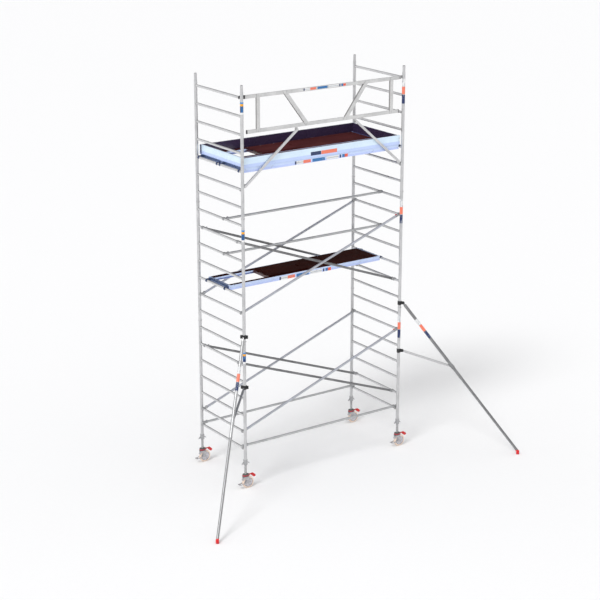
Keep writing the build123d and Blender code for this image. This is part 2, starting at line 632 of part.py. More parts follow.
def castor(corner, x, y):
    wheel_x = x + wheel_trail
    side_plane = Plane.XZ.offset(-y)

    with BuildPart() as leg:
        with BuildSketch(Plane.XY.offset(housing_top + 1)):
            with Locations((x, y)):
                Circle(leg_r)
        extrude(amount=leg_length)
        with BuildSketch(Plane.XY.offset(housing_top + 31)):
            with Locations((x, y)):
                Circle(leg_r - leg_wall)
        extrude(amount=leg_length, mode=Mode.SUBTRACT)
        with BuildSketch(Plane.XY.offset(housing_top + 1 - stem_length)):
            with Locations((x, y)):
                Circle(stem_r)
        extrude(amount=stem_length)
    leg.part.label = f"castor_{corner}_leg"
    export_step(leg.part, f"parts/castor_{corner}_leg.step")

    with BuildPart() as nut:
        with BuildSketch(Plane.XY.offset(post_foot - nut_height)):
            with Locations((x, y)):
                Circle(nut_r)
        extrude(amount=nut_height + nut_cup)
        chamfer(nut.edges().group_by(Axis.Z)[0], length=4)
        for side in (-1, 1):
            with BuildSketch(side_plane):
                with BuildLine():
                    Polyline(
                        (x + side * (leg_r + 6), post_foot - 14),
                        (x + side * 0.7 * wing_reach, post_foot - 30),
                        (x + side * wing_reach, post_foot - 58),
                        (x + side * 0.9 * wing_reach, post_foot - 64),
                        (x + side * 0.62 * wing_reach, post_foot - 44),
                        (x + side * (leg_r + 6), post_foot - 36),
                        close=True,
                    )
                make_face()
            extrude(amount=5, both=True)
        with BuildSketch(Plane.XY.offset(post_foot)):
            with Locations((x, y)):
                Circle(post_r + free_gap)
        extrude(amount=nut_cup, mode=Mode.SUBTRACT)
        with BuildSketch(Plane.XY.offset(post_foot - nut_height)):
            with Locations((x, y)):
                Circle(leg_r + slip)
        extrude(amount=nut_height, mode=Mode.SUBTRACT)
    nut.part.label = f"castor_{corner}_nut"
    export_step(nut.part, f"parts/castor_{corner}_nut.step")

    cheek_inner = wheel_width / 2 + cheek_gap
    with BuildPart() as fork:
        with BuildSketch(Plane.XY.offset(housing_low)):
            with Locations((x, y)):
                RectangleRounded(housing_length, housing_width, 30)
        extrude(amount=housing_top - housing_low)
        fillet(fork.edges().group_by(Axis.Z)[-1], radius=8)
        for sign in (-1, 1):
            with BuildSketch(Plane.XZ.offset(-(y + sign * cheek_inner))):
                with BuildLine():
                    Polyline(
                        (x - 44, housing_low + 14),
                        (x + 44, housing_low + 14),
                        (x + 46, skirt_low + 6),
                        (wheel_x - 2, skirt_low),
                        (wheel_x + 15, wheel_r + 8),
                        (wheel_x + 12, wheel_r - 12),
                        (wheel_x - 10, wheel_r - 14),
                        (x - tail_x + 8, tail_z - 6),
                        (x - tail_x, tail_z + 4),
                        (wheel_x - 22, wheel_r + 10),
                        (x - 12, skirt_low),
                        (x - 46, skirt_low + 8),
                        close=True,
                    )
                make_face()
            extrude(amount=-sign * cheek_thick)
        with BuildSketch(side_plane):
            with Locations((wheel_x, wheel_r)):
                Circle(axle_r)
        extrude(amount=cheek_inner + cheek_thick, both=True)
        for sign in (-1, 1):
            with BuildSketch(Plane.XZ.offset(-(y + sign * (cheek_inner + cheek_thick)))):
                with Locations((wheel_x, wheel_r)):
                    RegularPolygon(13, 6)
            extrude(amount=-sign * axle_nut)
        with BuildSketch(side_plane):
            with Locations((x - tail_x - 4, tail_z)):
                Rectangle(30, 10)
        extrude(amount=cheek_inner + cheek_thick, both=True)
        with BuildSketch(side_plane):
            with Locations((wheel_x, wheel_r)):
                Circle(wheel_r + 12)
                Circle(wheel_r + 5, mode=Mode.SUBTRACT)
            with Locations((wheel_x, wheel_r)):
                Rectangle(3 * wheel_r, 1.45 * wheel_r, align=(Align.CENTER, Align.MAX), mode=Mode.SUBTRACT)
                Rectangle(3 * wheel_r, 3 * wheel_r, align=(Align.MIN, Align.CENTER), mode=Mode.SUBTRACT)
                with Locations((0, wheel_r * 0.45)):
                    Rectangle(3 * wheel_r, wheel_r, align=(Align.CENTER, Align.MAX), mode=Mode.SUBTRACT)
        extrude(amount=cheek_inner, both=True)
        ear_inner = pedal_boss / 2 + 0.5
        for sign in (-1, 1):
            with BuildSketch(Plane.XZ.offset(-(y + sign * ear_inner))):
                with Locations((x + pedal_pivot_x, pedal_pivot_z)):
                    Circle(11)
                    Rectangle(26, 22, align=(Align.MAX, Align.CENTER))
            extrude(amount=-sign * 5)
        with BuildSketch(side_plane):
            with Locations((x + pedal_pivot_x, pedal_pivot_z)):
                Circle(pedal_pin_r)
        extrude(amount=ear_inner + 5, both=True)
        with BuildSketch(Plane.XY.offset(housing_top - stem_length)):
            with Locations((x, y)):
                Circle(stem_r + slip)
        extrude(amount=stem_length, mode=Mode.SUBTRACT)
        with BuildSketch(side_plane):
            with Locations((x + pedal_pivot_x, pedal_pivot_z)):
                Circle(pedal_boss_r + 1.5)
                Circle(pedal_pin_r, mode=Mode.SUBTRACT)
        extrude(amount=ear_inner, both=True, mode=Mode.SUBTRACT)
    fork.part.label = f"castor_{corner}_fork"
    export_step(fork.part, f"parts/castor_{corner}_fork.step")

    with BuildPart() as pedal:
        with BuildSketch(side_plane):
            with Locations((x + pedal_pivot_x, pedal_pivot_z)):
                Circle(pedal_boss_r)
            with BuildLine():
                Polyline(
                    (x + pedal_pivot_x, pedal_pivot_z + 8),
                    (x + pedal_pivot_x + 54, pedal_pivot_z + 2),
                    (x + pedal_pivot_x + 54, pedal_pivot_z - 12),
                    (x + pedal_pivot_x, pedal_pivot_z - 6),
                    close=True,
                )
            make_face()
        extrude(amount=pedal_boss / 2, both=True)
        with BuildSketch(side_plane):
            with BuildLine():
                Polyline(
                    (x + pedal_pivot_x + 48, pedal_pivot_z - 2),
                    (x + pedal_pivot_x + 90, pedal_pivot_z),
                    (x + pedal_pivot_x + pedal_reach + 14, pedal_pivot_z - 30),
                    (x + pedal_pivot_x + pedal_reach + 6, pedal_pivot_z - 50),
                    (x + pedal_pivot_x + 84, pedal_pivot_z - 57),
                    (x + pedal_pivot_x + 58, pedal_pivot_z - 35),
                    close=True,
                )
            make_face()
        extrude(amount=pedal_width / 2, both=True)
        with BuildSketch(side_plane):
            with Locations((x + pedal_pivot_x, pedal_pivot_z)):
                Circle(pedal_pin_r + slip)
        extrude(amount=pedal_width, both=True, mode=Mode.SUBTRACT)
    pedal.part.label = f"castor_{corner}_brake_pedal"
    export_step(pedal.part, f"parts/castor_{corner}_brake_pedal.step")

    hub_axis = Axis((wheel_x, y, wheel_r), (0, 1, 0))
    hub_plane = Plane(origin=(wheel_x, y, wheel_r), x_dir=(0, 1, 0), z_dir=(1, 0, 0))
    half = wheel_width / 2
    with BuildPart() as rim:
        with BuildSketch(hub_plane):
            with BuildLine():
                Polyline(
                    (-half, axle_r + slip),
                    (half, axle_r + slip),
                    (half, hub_r),
                    (web_half, hub_r + 6),
                    (web_half, rim_r - 12),
                    (half - 4, rim_r - 6),
                    (half - 4, rim_r),
                    (-half + 4, rim_r),
                    (-half + 4, rim_r - 6),
                    (-web_half, rim_r - 12),
                    (-web_half, hub_r + 6),
                    (-half, hub_r),
                    close=True,
                )
            make_face()
        revolve(axis=hub_axis)
        with BuildSketch(Plane(origin=(wheel_x, y - half, wheel_r), x_dir=(1, 0, 0), z_dir=(0, 1, 0))):
            with PolarLocations((hub_r + rim_r) / 2 - 2, 6):
                Circle(10)
        extrude(amount=wheel_width, mode=Mode.SUBTRACT)
    with BuildPart() as tyre:
        with BuildSketch(hub_plane):
            with BuildLine():
                Polyline(
                    (-half + 1, wheel_r - 9),
                    (-half + 1, rim_r),
                    (half - 1, rim_r),
                    (half - 1, wheel_r - 9),
                )
                ThreePointArc((half - 1, wheel_r - 9), (half - 5, wheel_r - 3), (half - 12, wheel_r))
                Line((half - 12, wheel_r), (-half + 12, wheel_r))
                ThreePointArc((-half + 12, wheel_r), (-half + 5, wheel_r - 3), (-half + 1, wheel_r - 9))
            make_face()
        revolve(axis=hub_axis)
    save_group([rim.part, tyre.part], f"castor_{corner}_wheel")


for corner, x, y in (
    ("near_left", -x_post, y_near),
    ("near_right", x_post, y_near),
    ("far_left", -x_post, y_far),
    ("far_right", x_post, y_far),
):
    castor(corner, x, y)

# ---------------------------------------------------------------- stabilisers


def stabiliser(name, side):
    post = Vector(side * x_post, y_near, 0)
    outward = Vector(side, -1, 0).normalized()
    upright = Plane(origin=post, x_dir=outward, z_dir=outward.cross(Vector(0, 0, 1)))
    top_pin = (pivot_r, upper_clamp_z)
    low_pin = (pivot_r, lower_clamp_z)
    reach = hypot(foot_reach - pivot_r, upper_clamp_z - ball_height)
    down = ((foot_reach - pivot_r) / reach, (ball_height - upper_clamp_z) / reach)
    joint_at = (arm_joint_reach - pivot_r) / down[0]
    joint = (arm_joint_reach, upper_clamp_z + down[1] * joint_at)

    def along(start, heading):
        return Plane(
            origin=upright.from_local_coords(Vector(start[0], start[1], 0)),
            x_dir=upright.z_dir,
            z_dir=outward * heading[0] + Vector(0, 0, 1) * heading[1],
        )

    def tube_step(plane, offset, radius, length, mode=Mode.ADD):
        with BuildSketch(plane.offset(offset)) as section:
            Circle(radius)
        extrude(section.sketch, amount=length, mode=mode)

    with BuildPart() as clamps:
        for pin in (top_pin, low_pin):
            with BuildSketch(Plane.XY.offset(pin[1] - clamp_height / 2)):
                with Locations((post.X, post.Y)):
                    Circle(clamp_r)
            extrude(amount=clamp_height)
            with BuildSketch(upright):
                with Locations(pin):
                    Circle(ear_r)
                    Rectangle(pivot_r - post_r - 4, 2 * ear_r, align=(Align.MAX, Align.CENTER))
            extrude(amount=ear_gap + ear_thick, both=True)
            with BuildSketch(upright):
                with Locations((clamp_r + 1, pin[1])):
                    Rectangle(pivot_r, clamp_height, align=(Align.MIN, Align.CENTER))
            extrude(amount=ear_gap, both=True, mode=Mode.SUBTRACT)
            with BuildSketch(upright):
                with Locations(pin):
                    Circle(bolt_r)
            extrude(amount=ear_gap + ear_thick + 4, both=True)
            for face in (ear_gap + ear_thick, -ear_gap - ear_thick):
                with BuildSketch(upright.offset(face)):
                    with Locations(pin):
                        RegularPolygon(11, 6)
                extrude(amount=8 if face > 0 else -8)
            with BuildSketch(upright):
                with Locations((0, pin[1])):
                    Rectangle(lug_width, clamp_height - 12)
            extrude(amount=lug_reach, both=True)
            with BuildSketch(upright.offset(-clamp_r)):
                with Locations((0, pin[1])):
                    Rectangle(lug_split, clamp_height)
            extrude(amount=-lug_reach, mode=Mode.SUBTRACT)
            with BuildSketch(Plane(origin=post, x_dir=-upright.z_dir, z_dir=outward)):
                with Locations((lug_reach - 13, pin[1])):
                    Circle(bolt_r)
            extrude(amount=lug_width / 2 + 12, both=True)
            with BuildSketch(Plane.XY.offset(pin[1] - clamp_height / 2 + 2)):
                with Locations(post + upright.z_dir * (lug_reach - 10)):
                    Circle(bolt_r)
            extrude(amount=clamp_height - 4)
            with BuildSketch(Plane.XY.offset(pin[1] - clamp_height)):
                with Locations((post.X, post.Y)):
                    Circle(post_r + slip)
            extrude(amount=2 * clamp_height, mode=Mode.SUBTRACT)
    save_group([clamps.part], f"{name}_clamps")

    leg_line = along(top_pin, down)
    with BuildPart() as outer:
        with BuildSketch(upright):
            with Locations(top_pin):
                Circle(tongue_r)
            with Locations(Location((*top_pin, 0), (0, 0, degrees(atan2(down[1], down[0]))))):
                Rectangle(tongue_reach, 2 * tongue_r, align=(Align.MIN, Align.CENTER))
        extrude(amount=tongue_half, both=True)
        tube_step(leg_line, tongue_start, outer_r, outer_length)
        tube_step(leg_line, tongue_start + outer_length - 30, outer_r + 1.5, 30)
        tube_step(leg_line, tongue_reach, outer_r - outer_wall, outer_length, Mode.SUBTRACT)
        with BuildSketch(upright):
            with Locations(top_pin):
                Circle(bolt_r + slip)
        extrude(amount=outer_r, both=True, mode=Mode.SUBTRACT)

    arm_heading = Vector(joint[0] - low_pin[0], joint[1] - low_pin[1], 0)
    arm_reach = arm_heading.length
    arm_dir = (arm_heading.X / arm_reach, arm_heading.Y / arm_reach)
    arm_line = along(low_pin, arm_dir)
    with BuildPart() as arm:
        with BuildSketch(upright):
            with Locations(low_pin):
                Circle(tongue_r)
            with Locations(Location((*low_pin, 0), (0, 0, degrees(atan2(arm_dir[1], arm_dir[0]))))):
                Rectangle(tongue_reach, 2 * tongue_r, align=(Align.MIN, Align.CENTER))
        extrude(amount=tongue_half, both=True)
        tube_step(arm_line, tongue_start, arm_r, arm_reach - tongue_start)
        tube_step(arm_line, tongue_reach, arm_r - arm_wall, arm_reach - tongue_reach, Mode.SUBTRACT)
        tube_step(leg_line, joint_at - 32, outer_r + 6, 64)
        tube_step(leg_line, joint_at - 64, outer_r + slip, 128, Mode.SUBTRACT)
        with BuildSketch(upright):
            with Locations(low_pin):
                Circle(bolt_r + slip)
        extrude(amount=outer_r, both=True, mode=Mode.SUBTRACT)
    save_group([outer.part, arm.part], f"{name}_outer_tube_and_arm")

    inner_start = tongue_start + outer_length - inner_grip
    inner_end = reach - foot_r * 0.6
    foot_centre = upright.from_local_coords(Vector(foot_reach, 0, 0))
    with BuildPart() as inner:
        tube_step(leg_line, inner_start, inner_r, inner_end - inner_start)
        tube_step(leg_line, inner_start, inner_r - inner_wall, inner_end - inner_start, Mode.SUBTRACT)
        with BuildSketch(upright):
            for n in range(snap_count):
                s = inner_end - 150 - n * snap_pitch
                with Locations((pivot_r + down[0] * s, upper_clamp_z + down[1] * s)):
                    Circle(snap_r)
        extrude(amount=2 * inner_r, both=True, mode=Mode.SUBTRACT)
    with BuildPart() as foot:
        with BuildSketch(upright):
            with BuildLine():
                Polyline(
                    (foot_reach, 0),
                    (foot_reach + foot_r - 3, 0),
                    (foot_reach + foot_r, 3),
                    (foot_reach + foot_r, 12),
                    (foot_reach + foot_r - 2, 15),
                    (foot_reach + foot_r - 2, 19),
                    (foot_reach + foot_r, 22),
                    (foot_reach + foot_r, ball_height),
                )
                ThreePointArc(
                    (foot_reach + foot_r, ball_height),
                    (foot_reach + foot_r * 0.7071, ball_height + foot_r * 0.7071),
                    (foot_reach, ball_height + foot_r),
                )
                Line((foot_reach, ball_height + foot_r), (foot_reach, 0))
            make_face()
        revolve(axis=Axis(foot_centre, (0, 0, 1)))
        tube_step(leg_line, inner_end - 200, inner_r, 200, Mode.SUBTRACT)
    save_group([inner.part, foot.part], f"{name}_inner_leg")


stabiliser("stabiliser_left", -1)
stabiliser("stabiliser_right", 1)
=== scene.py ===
import math
import random

import bmesh
import bpy
from mathutils import Euler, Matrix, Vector


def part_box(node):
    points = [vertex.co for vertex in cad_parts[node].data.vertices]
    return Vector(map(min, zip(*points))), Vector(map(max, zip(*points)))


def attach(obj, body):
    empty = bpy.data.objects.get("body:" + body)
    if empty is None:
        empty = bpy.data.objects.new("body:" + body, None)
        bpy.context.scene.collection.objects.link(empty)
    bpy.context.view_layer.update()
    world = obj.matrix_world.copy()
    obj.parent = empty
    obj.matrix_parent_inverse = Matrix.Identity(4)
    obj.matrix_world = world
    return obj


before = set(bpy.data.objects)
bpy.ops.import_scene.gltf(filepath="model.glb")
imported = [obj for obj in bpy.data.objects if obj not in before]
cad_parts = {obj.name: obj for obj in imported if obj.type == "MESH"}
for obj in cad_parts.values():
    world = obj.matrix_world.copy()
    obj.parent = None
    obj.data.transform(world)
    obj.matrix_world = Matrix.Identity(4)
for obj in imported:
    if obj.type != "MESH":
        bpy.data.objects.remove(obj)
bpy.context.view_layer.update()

# ---------------------------------------------------------------- places, read from the frame

POST_R, RUNG_R = 0.0254, 0.019
PITCH, FIRST_RUNG, POST_FOOT, STOREY = 0.28, 0.67, 0.475, 1.96
low_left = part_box("ladder_frame_left_lower")
POST_X = -(low_left[0].x + low_left[1].x) / 2
NEAR_Y = low_left[0].y + POST_R
FAR_Y = low_left[1].y - POST_R


def rung_z(number):
    return FIRST_RUNG + (number - 1) * PITCH


# ---------------------------------------------------------------- shader graphs


class Graph:
    """One material: nested calls add nodes and hand back their output sockets."""

    def __init__(self, name):
        self.material = bpy.data.materials.new(name)
        self.material.use_nodes = True
        self.tree = self.material.node_tree
        self.tree.nodes.clear()
        out = self.tree.nodes.new("ShaderNodeOutputMaterial")
        self.shader = self.tree.nodes.new("ShaderNodeBsdfPrincipled")
        self.tree.links.new(self.shader.outputs[0], out.inputs["Surface"])
        self.place = self.add("ShaderNodeTexCoord", {}, {}).outputs["Object"]
        self.x, self.y, self.z = self.add("ShaderNodeSeparateXYZ", {}, {0: self.place}).outputs

    def add(self, kind, settings, inputs):
        made = self.tree.nodes.new(kind)
        for key, value in settings.items():
            setattr(made, key, value)
        for key, value in inputs.items():
            self.put(made.inputs[key], value)
        return made

    def put(self, socket, value):
        if isinstance(value, bpy.types.NodeSocket):
            self.tree.links.new(value, socket)
        elif isinstance(value, (tuple, list)) and socket.type == "RGBA":
            socket.default_value = (*value[:3], 1.0)
        else:
            socket.default_value = value

    def math(self, operation, a, b=0.0, c=0.0):
        return self.add("ShaderNodeMath", {"operation": operation}, {0: a, 1: b, 2: c}).outputs[0]

    def mix(self, share, a, b):
        settings = {"data_type": "RGBA"}
        return self.add("ShaderNodeMix", settings, {0: share, 6: a, 7: b}).outputs[2]

    def lerp(self, share, a, b):
        return self.add("ShaderNodeMix", {"data_type": "FLOAT"}, {0: share, 2: a, 3: b}).outputs[0]

    def vector(self, x, y, z):
        return self.add("ShaderNodeCombineXYZ", {}, {0: x, 1: y, 2: z}).outputs[0]

    def noise(self, scale, detail=3.0, rough=0.5, where=None, stretch=None):
        where = self.scaled(stretch) if stretch else where or self.place
        inputs = {"Vector": where, "Scale": scale, "Detail": detail, "Roughness": rough}
        return self.add("ShaderNodeTexNoise", {}, inputs).outputs[0]

    def scaled(self, stretch):
        """The place, each axis times its own number."""
        inputs = {0: self.place, 1: stretch}
        return self.add("ShaderNodeVectorMath", {"operation": "MULTIPLY"}, inputs).outputs[0]

    def cells(self, scale):
        return self.add("ShaderNodeTexVoronoi", {"feature": "F1"}, {"Vector": self.place, "Scale": scale})

    def fade(self, value, low, high):
        """0 below low, 1 above high, smooth between; low above high turns it round."""
        inputs = {"Value": value, "From Min": low, "From Max": high}
        return self.add("ShaderNodeMapRange", {"interpolation_type": "SMOOTHSTEP"}, inputs).outputs[0]

    def between(self, value, low, high, soft=0.0004):
        rise = self.fade(value, low - soft, low + soft)
        return self.math("MULTIPLY", rise, self.fade(value, high + soft, high - soft))

    def all_of(self, *masks):
        made = masks[0]
        for mask in masks[1:]:
            made = self.math("MULTIPLY", made, mask)
        return made

    def any_of(self, *masks):
        made = masks[0]
        for mask in masks[1:]:
            made = self.math("MAXIMUM", made, mask)
        return made

    def bump(self, *heights):
        """heights: (socket, depth in metres), laid over one another."""
        normal = None
        for height, depth in heights:
            inputs = {"Height": height, "Distance": depth, "Strength": 1.0}
            if normal is not None:
                inputs["Normal"] = normal
            normal = self.add("ShaderNodeBump", {}, inputs).outputs[0]
        self.put(self.shader.inputs["Normal"], normal)

    def set(self, **values):
        for key, value in values.items():
            self.put(self.shader.inputs[key.replace("_", " ")], value)
        return self.material


def give(material, *names):
    for name in names:
        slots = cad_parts[name].data.materials
        for n in range(len(slots)):
            slots[n] = material
        if not len(slots):
            slots.append(material)


# Colours, linear
WHITE = (0.80, 0.80, 0.80)
PALE_GREY = (0.42, 0.45, 0.48)
SALMON = (0.86, 0.20, 0.12)
ORANGE_RED = (0.84, 0.10, 0.04)
NAVY = (0.012, 0.028, 0.11)
BLUE = (0.02, 0.16, 0.42)
SKY = (0.03, 0.24, 0.62)
AMBER = (0.86, 0.38, 0.01)
ALUMINIUM, ALUMINIUM_DARK = (0.68, 0.68, 0.685), (0.46, 0.465, 0.475)
SHEEN = 0.62  # share of the tubes that is bare metal, the rest a matt oxide skin
ACROSS, ALONG = 420.0, 5.0  # scale of the drawing lines across and along a tube
WELD_HALO = 0.006  # half the width of the heat tint beside a weld
BORE_RIM, BORE_INSIDE = 0.0186, 0.0178  # radii between which an open tube's end is painted dark, as shade inside the bore


def labels(g, base, blocks):
    """base with flat blocks of colour over it, and the mask of all of them together."""
    masks = []
    for mask, colour in blocks:
        base = g.mix(mask, base, colour)
        masks.append(mask)
    return base, g.any_of(*masks)


def drawn_metal(g, along, light, dark, worn=0.5):
    """Colour, roughness and fine lines of a drawn tube, with dull patches and scuffs."""
    lines = g.noise(1.0, 2.0, 0.6, along)
    broad = g.noise(7.0, 4.0, 0.6)
    scuff = g.fade(g.noise(46.0, 6.0, 0.75), 0.60, 0.72)
    dirt = g.fade(g.noise(3.1, 5.0, 0.65), 0.52, 0.75)
    tone = g.math("ADD", g.math("MULTIPLY", lines, 0.55), g.math("MULTIPLY", broad, 0.45))
    colour = g.mix(g.fade(tone, 0.30, 0.72), dark, light)
    colour = g.mix(g.math("MULTIPLY", dirt, 0.22 * worn), colour, (0.22, 0.21, 0.19))
    colour = g.mix(g.math("MULTIPLY", scuff, 0.35 * worn), colour, (0.80, 0.80, 0.81))
    rough = g.math("MULTIPLY_ADD", broad, 0.20, 0.24)
    rough = g.math("ADD", rough, g.math("MULTIPLY", scuff, 0.14))
    return colour, rough, lines


def slanted(g, dx, dz):
    """Coordinates with the first along (dx, dz) in the XZ plane, drawn out along it."""
    run = math.hypot(dx, dz)
    ux, uz = dx / run, dz / run
    u = g.math("ADD", g.math("MULTIPLY", g.x, ALONG * ux), g.math("MULTIPLY", g.z, ALONG * uz))
    v = g.math("ADD", g.math("MULTIPLY", g.x, -ACROSS * uz), g.math("MULTIPLY", g.z, ACROSS * ux))
    return g.vector(u, g.math("MULTIPLY", g.y, ACROSS), v)


def near(g, value, centre, half):
    return g.between(value, centre - half, centre + half)


# ---------------------------------------------------------------- ladder frames


def frame_metal(side):
    g = Graph(f"frame_tube_{side}")
    post = g.any_of(near(g, g.y, NEAR_Y, POST_R + 0.001), near(g, g.y, FAR_Y, POST_R + 0.001))
    upright = g.scaled((ACROSS, ACROSS, ALONG))
    level = g.scaled((ACROSS, ALONG, ACROSS))
    along = g.mix(post, level, upright)
    colour, rough, lines = drawn_metal(g, along, ALUMINIUM, ALUMINIUM_DARK, 0.9)
    # grip ribs along the top and bottom of each rung; their dark grooves are painted shade that draws the
    # rungs' dark upper and lower edges
    turn = g.math("WRAP", g.math("SUBTRACT", g.z, FIRST_RUNG - PITCH / 2), PITCH, 0.0)
    lift = g.math("DIVIDE", g.math("SUBTRACT", turn, PITCH / 2), RUNG_R)
    ribs_and_edge_shade = g.any_of(g.fade(lift, 0.80, 0.90), g.fade(lift, -0.66, -0.78))
    ribs_and_edge_shade = g.all_of(ribs_and_edge_shade, g.math("SUBTRACT", 1.0, post))
    colour = g.mix(g.math("SUBTRACT", 1.0, post), colour, g.mix(0.35, colour, (0.80, 0.80, 0.81)))
    # painted shade: the rib bands are darkened to draw the rungs' dark edges
    colour = g.mix(g.math("MULTIPLY", ribs_and_edge_shade, 0.60), colour, (0.14, 0.14, 0.145))
    # heat tint beside the welds
    by_near = near(g, g.y, NEAR_Y + POST_R + WELD_HALO, WELD_HALO)
    by_far = near(g, g.y, FAR_Y - POST_R - WELD_HALO, WELD_HALO)
    beside = g.any_of(by_near, by_far)
    tint = g.all_of(beside, g.noise(60.0, 3.0))
    colour = g.mix(g.math("MULTIPLY", tint, 0.5), colour, (0.30, 0.27, 0.24))
    # painted shade: the tube ends are darkened inside the bore's radius, where the open tube would be in
    # shade
    radial = g.math("SUBTRACT", g.y, NEAR_Y)
    far_off = g.math("SUBTRACT", g.y, FAR_Y)
    offset_x = g.math("SUBTRACT", g.math("ABSOLUTE", g.x), POST_X)
    for off in (radial, far_off):
        reach = g.math("SQRT", g.math("ADD", g.math("POWER", off, 2.0), g.math("POWER", offset_x, 2.0)))
        colour = g.mix(g.fade(reach, BORE_RIM, BORE_INSIDE), colour, (0.03, 0.03, 0.035))
    # coloured bands on the near post, the same on each storey
    height = g.math("WRAP", g.z, POST_FOOT + STOREY, POST_FOOT)
    height = g.math("SUBTRACT", height, POST_FOOT)
    on_near = g.between(g.y, NEAR_Y - 0.03, NEAR_Y + 0.014)
    speck = g.noise(90.0, 2.0, 0.5, None, (1, 1, 0.2))
    if side == "left":
        flecked = g.mix(g.fade(speck, 0.5, 0.55), NAVY, BLUE)
        bands = ((1.790, 1.815, SKY), (1.755, 1.790, AMBER), (1.660, 1.755, flecked), (1.630, 1.660, WHITE))
    else:
        pale = g.mix(g.fade(speck, 0.52, 0.56), WHITE, PALE_GREY)
        flecked = g.mix(g.fade(speck, 0.63, 0.66), NAVY, PALE_GREY)
        bands = ((1.733, 1.860, pale), (1.613, 1.733, SALMON), (1.463, 1.605, flecked))
    blocks = [(g.all_of(g.between(height, low, high), on_near), tone) for low, high, tone in bands]
    colour, stuck = labels(g, colour, blocks)
    teeth = g.math("MULTIPLY", g.math("SINE", g.math("MULTIPLY", lift, 60.0)), ribs_and_edge_shade)
    g.bump((lines, 0.00006), (g.noise(180.0, 3.0), 0.00003), (stuck, 0.0002), (teeth, 0.0004))
    metal = g.lerp(stuck, SHEEN, 0.0)
    return g.set(Base_Color=colour, Roughness=g.lerp(stuck, rough, 0.32), Metallic=metal)


for side in ("left", "right"):
    names = [f"ladder_frame_{side}_{level}" for level in ("lower", "middle", "upper")]
    give(frame_metal(side), *names)

# ---------------------------------------------------------------- braces and rails


CLAW_REACH = 0.069  # of a brace's cast claw, from the post's axis


def brace_metal(name, dx, dz, light, dark):
    g = Graph(name)
    colour, rough, lines = drawn_metal(g, slanted(g, dx, dz), light, dark, 0.7)
    ends = g.fade(g.math("ABSOLUTE", g.x), POST_X - CLAW_REACH, POST_X - CLAW_REACH + 0.002)
    cast = g.mix(g.fade(g.noise(260.0, 3.0), 0.4, 0.6), (0.30, 0.305, 0.315), (0.52, 0.525, 0.53))
    colour = g.mix(ends, colour, cast)
    seam = g.math("MULTIPLY", g.fade(g.noise(260.0, 3.0), 0.35, 0.65), ends)
    g.bump((lines, 0.00006), (seam, 0.0003))
    return g.set(Base_Color=colour, Roughness=g.lerp(ends, rough, 0.42), Metallic=0.75)


RISE = 4 * PITCH
# light and dark tone of each kind of tube; all the braces are one aluminium, the rising ones painted with a
# bluish reflection and the falling ones painted dark as shade
RISING_REFLECTION_TONES = ((0.58, 0.60, 0.66), (0.38, 0.39, 0.43))
FALLING_SHADE_TONES = ((0.30, 0.30, 0.305), (0.15, 0.15, 0.155))
LEVEL = ((0.60, 0.61, 0.62), (0.40, 0.405, 0.41))
give(
    brace_metal("brace_rising", 2 * POST_X, RISE, *RISING_REFLECTION_TONES),
    *[f"brace_{s}_{level}_rising" for s in ("near", "far") for level in ("lower", "upper")],
)
give(
    brace_metal("brace_falling", 2 * POST_X, -RISE, *FALLING_SHADE_TONES),
    *[f"brace_{s}_{level}_falling" for s in ("near", "far") for level in ("lower", "upper")],
)
give(
    brace_metal("brace_level", 1.0, 0.0, *LEVEL),
    "base_brace_near", "base_brace_far", "hand_rail_low", "hand_rail_high",
)


def red_plastic(name):
    g = Graph(name)
    mottle = g.noise(30.0, 4.0, 0.6)
    grime = g.fade(g.noise(11.0, 5.0, 0.7), 0.55, 0.8)
    colour = g.mix(mottle, (0.50, 0.004, 0.006), (0.72, 0.012, 0.012))
    colour = g.mix(g.math("MULTIPLY", grime, 0.35), colour, (0.12, 0.02, 0.018))
    g.bump((g.noise(520.0, 2.0), 0.00012), (mottle, 0.0002))
    rough = g.math("MULTIPLY_ADD", mottle, 0.22, 0.26)
    return g.set(Base_Color=colour, Roughness=rough, Coat_Weight=0.25, Coat_Roughness=0.2)


def trigger_metal():
    """Cast grey thumb pieces; those at the raised right ends of the near outer braces are red."""
    g = Graph("trigger")
    mottle = g.noise(55.0, 4.0, 0.6)
    grey = g.mix(mottle, (0.22, 0.22, 0.23), (0.50, 0.50, 0.51))
    red = g.mix(mottle, (0.50, 0.004, 0.006), (0.74, 0.014, 0.012))
    high_end = g.any_of(near(g, g.z, rung_z(6), 0.12), near(g, g.z, rung_z(13), 0.12))
    picked = g.all_of(g.fade(g.x, 1.2, 1.3), g.fade(g.y, NEAR_Y + 0.12, NEAR_Y + 0.10), high_end)
    g.bump((g.noise(520.0, 2.0), 0.00012), (mottle, 0.0002))
    rough = g.math("MULTIPLY_ADD", mottle, 0.22, 0.30)
    return g.set(Base_Color=g.mix(picked, grey, red), Roughness=rough, Metallic=g.lerp(picked, 0.6, 0.0))


give(trigger_metal(), "brace_triggers")

# ---------------------------------------------------------------- platforms


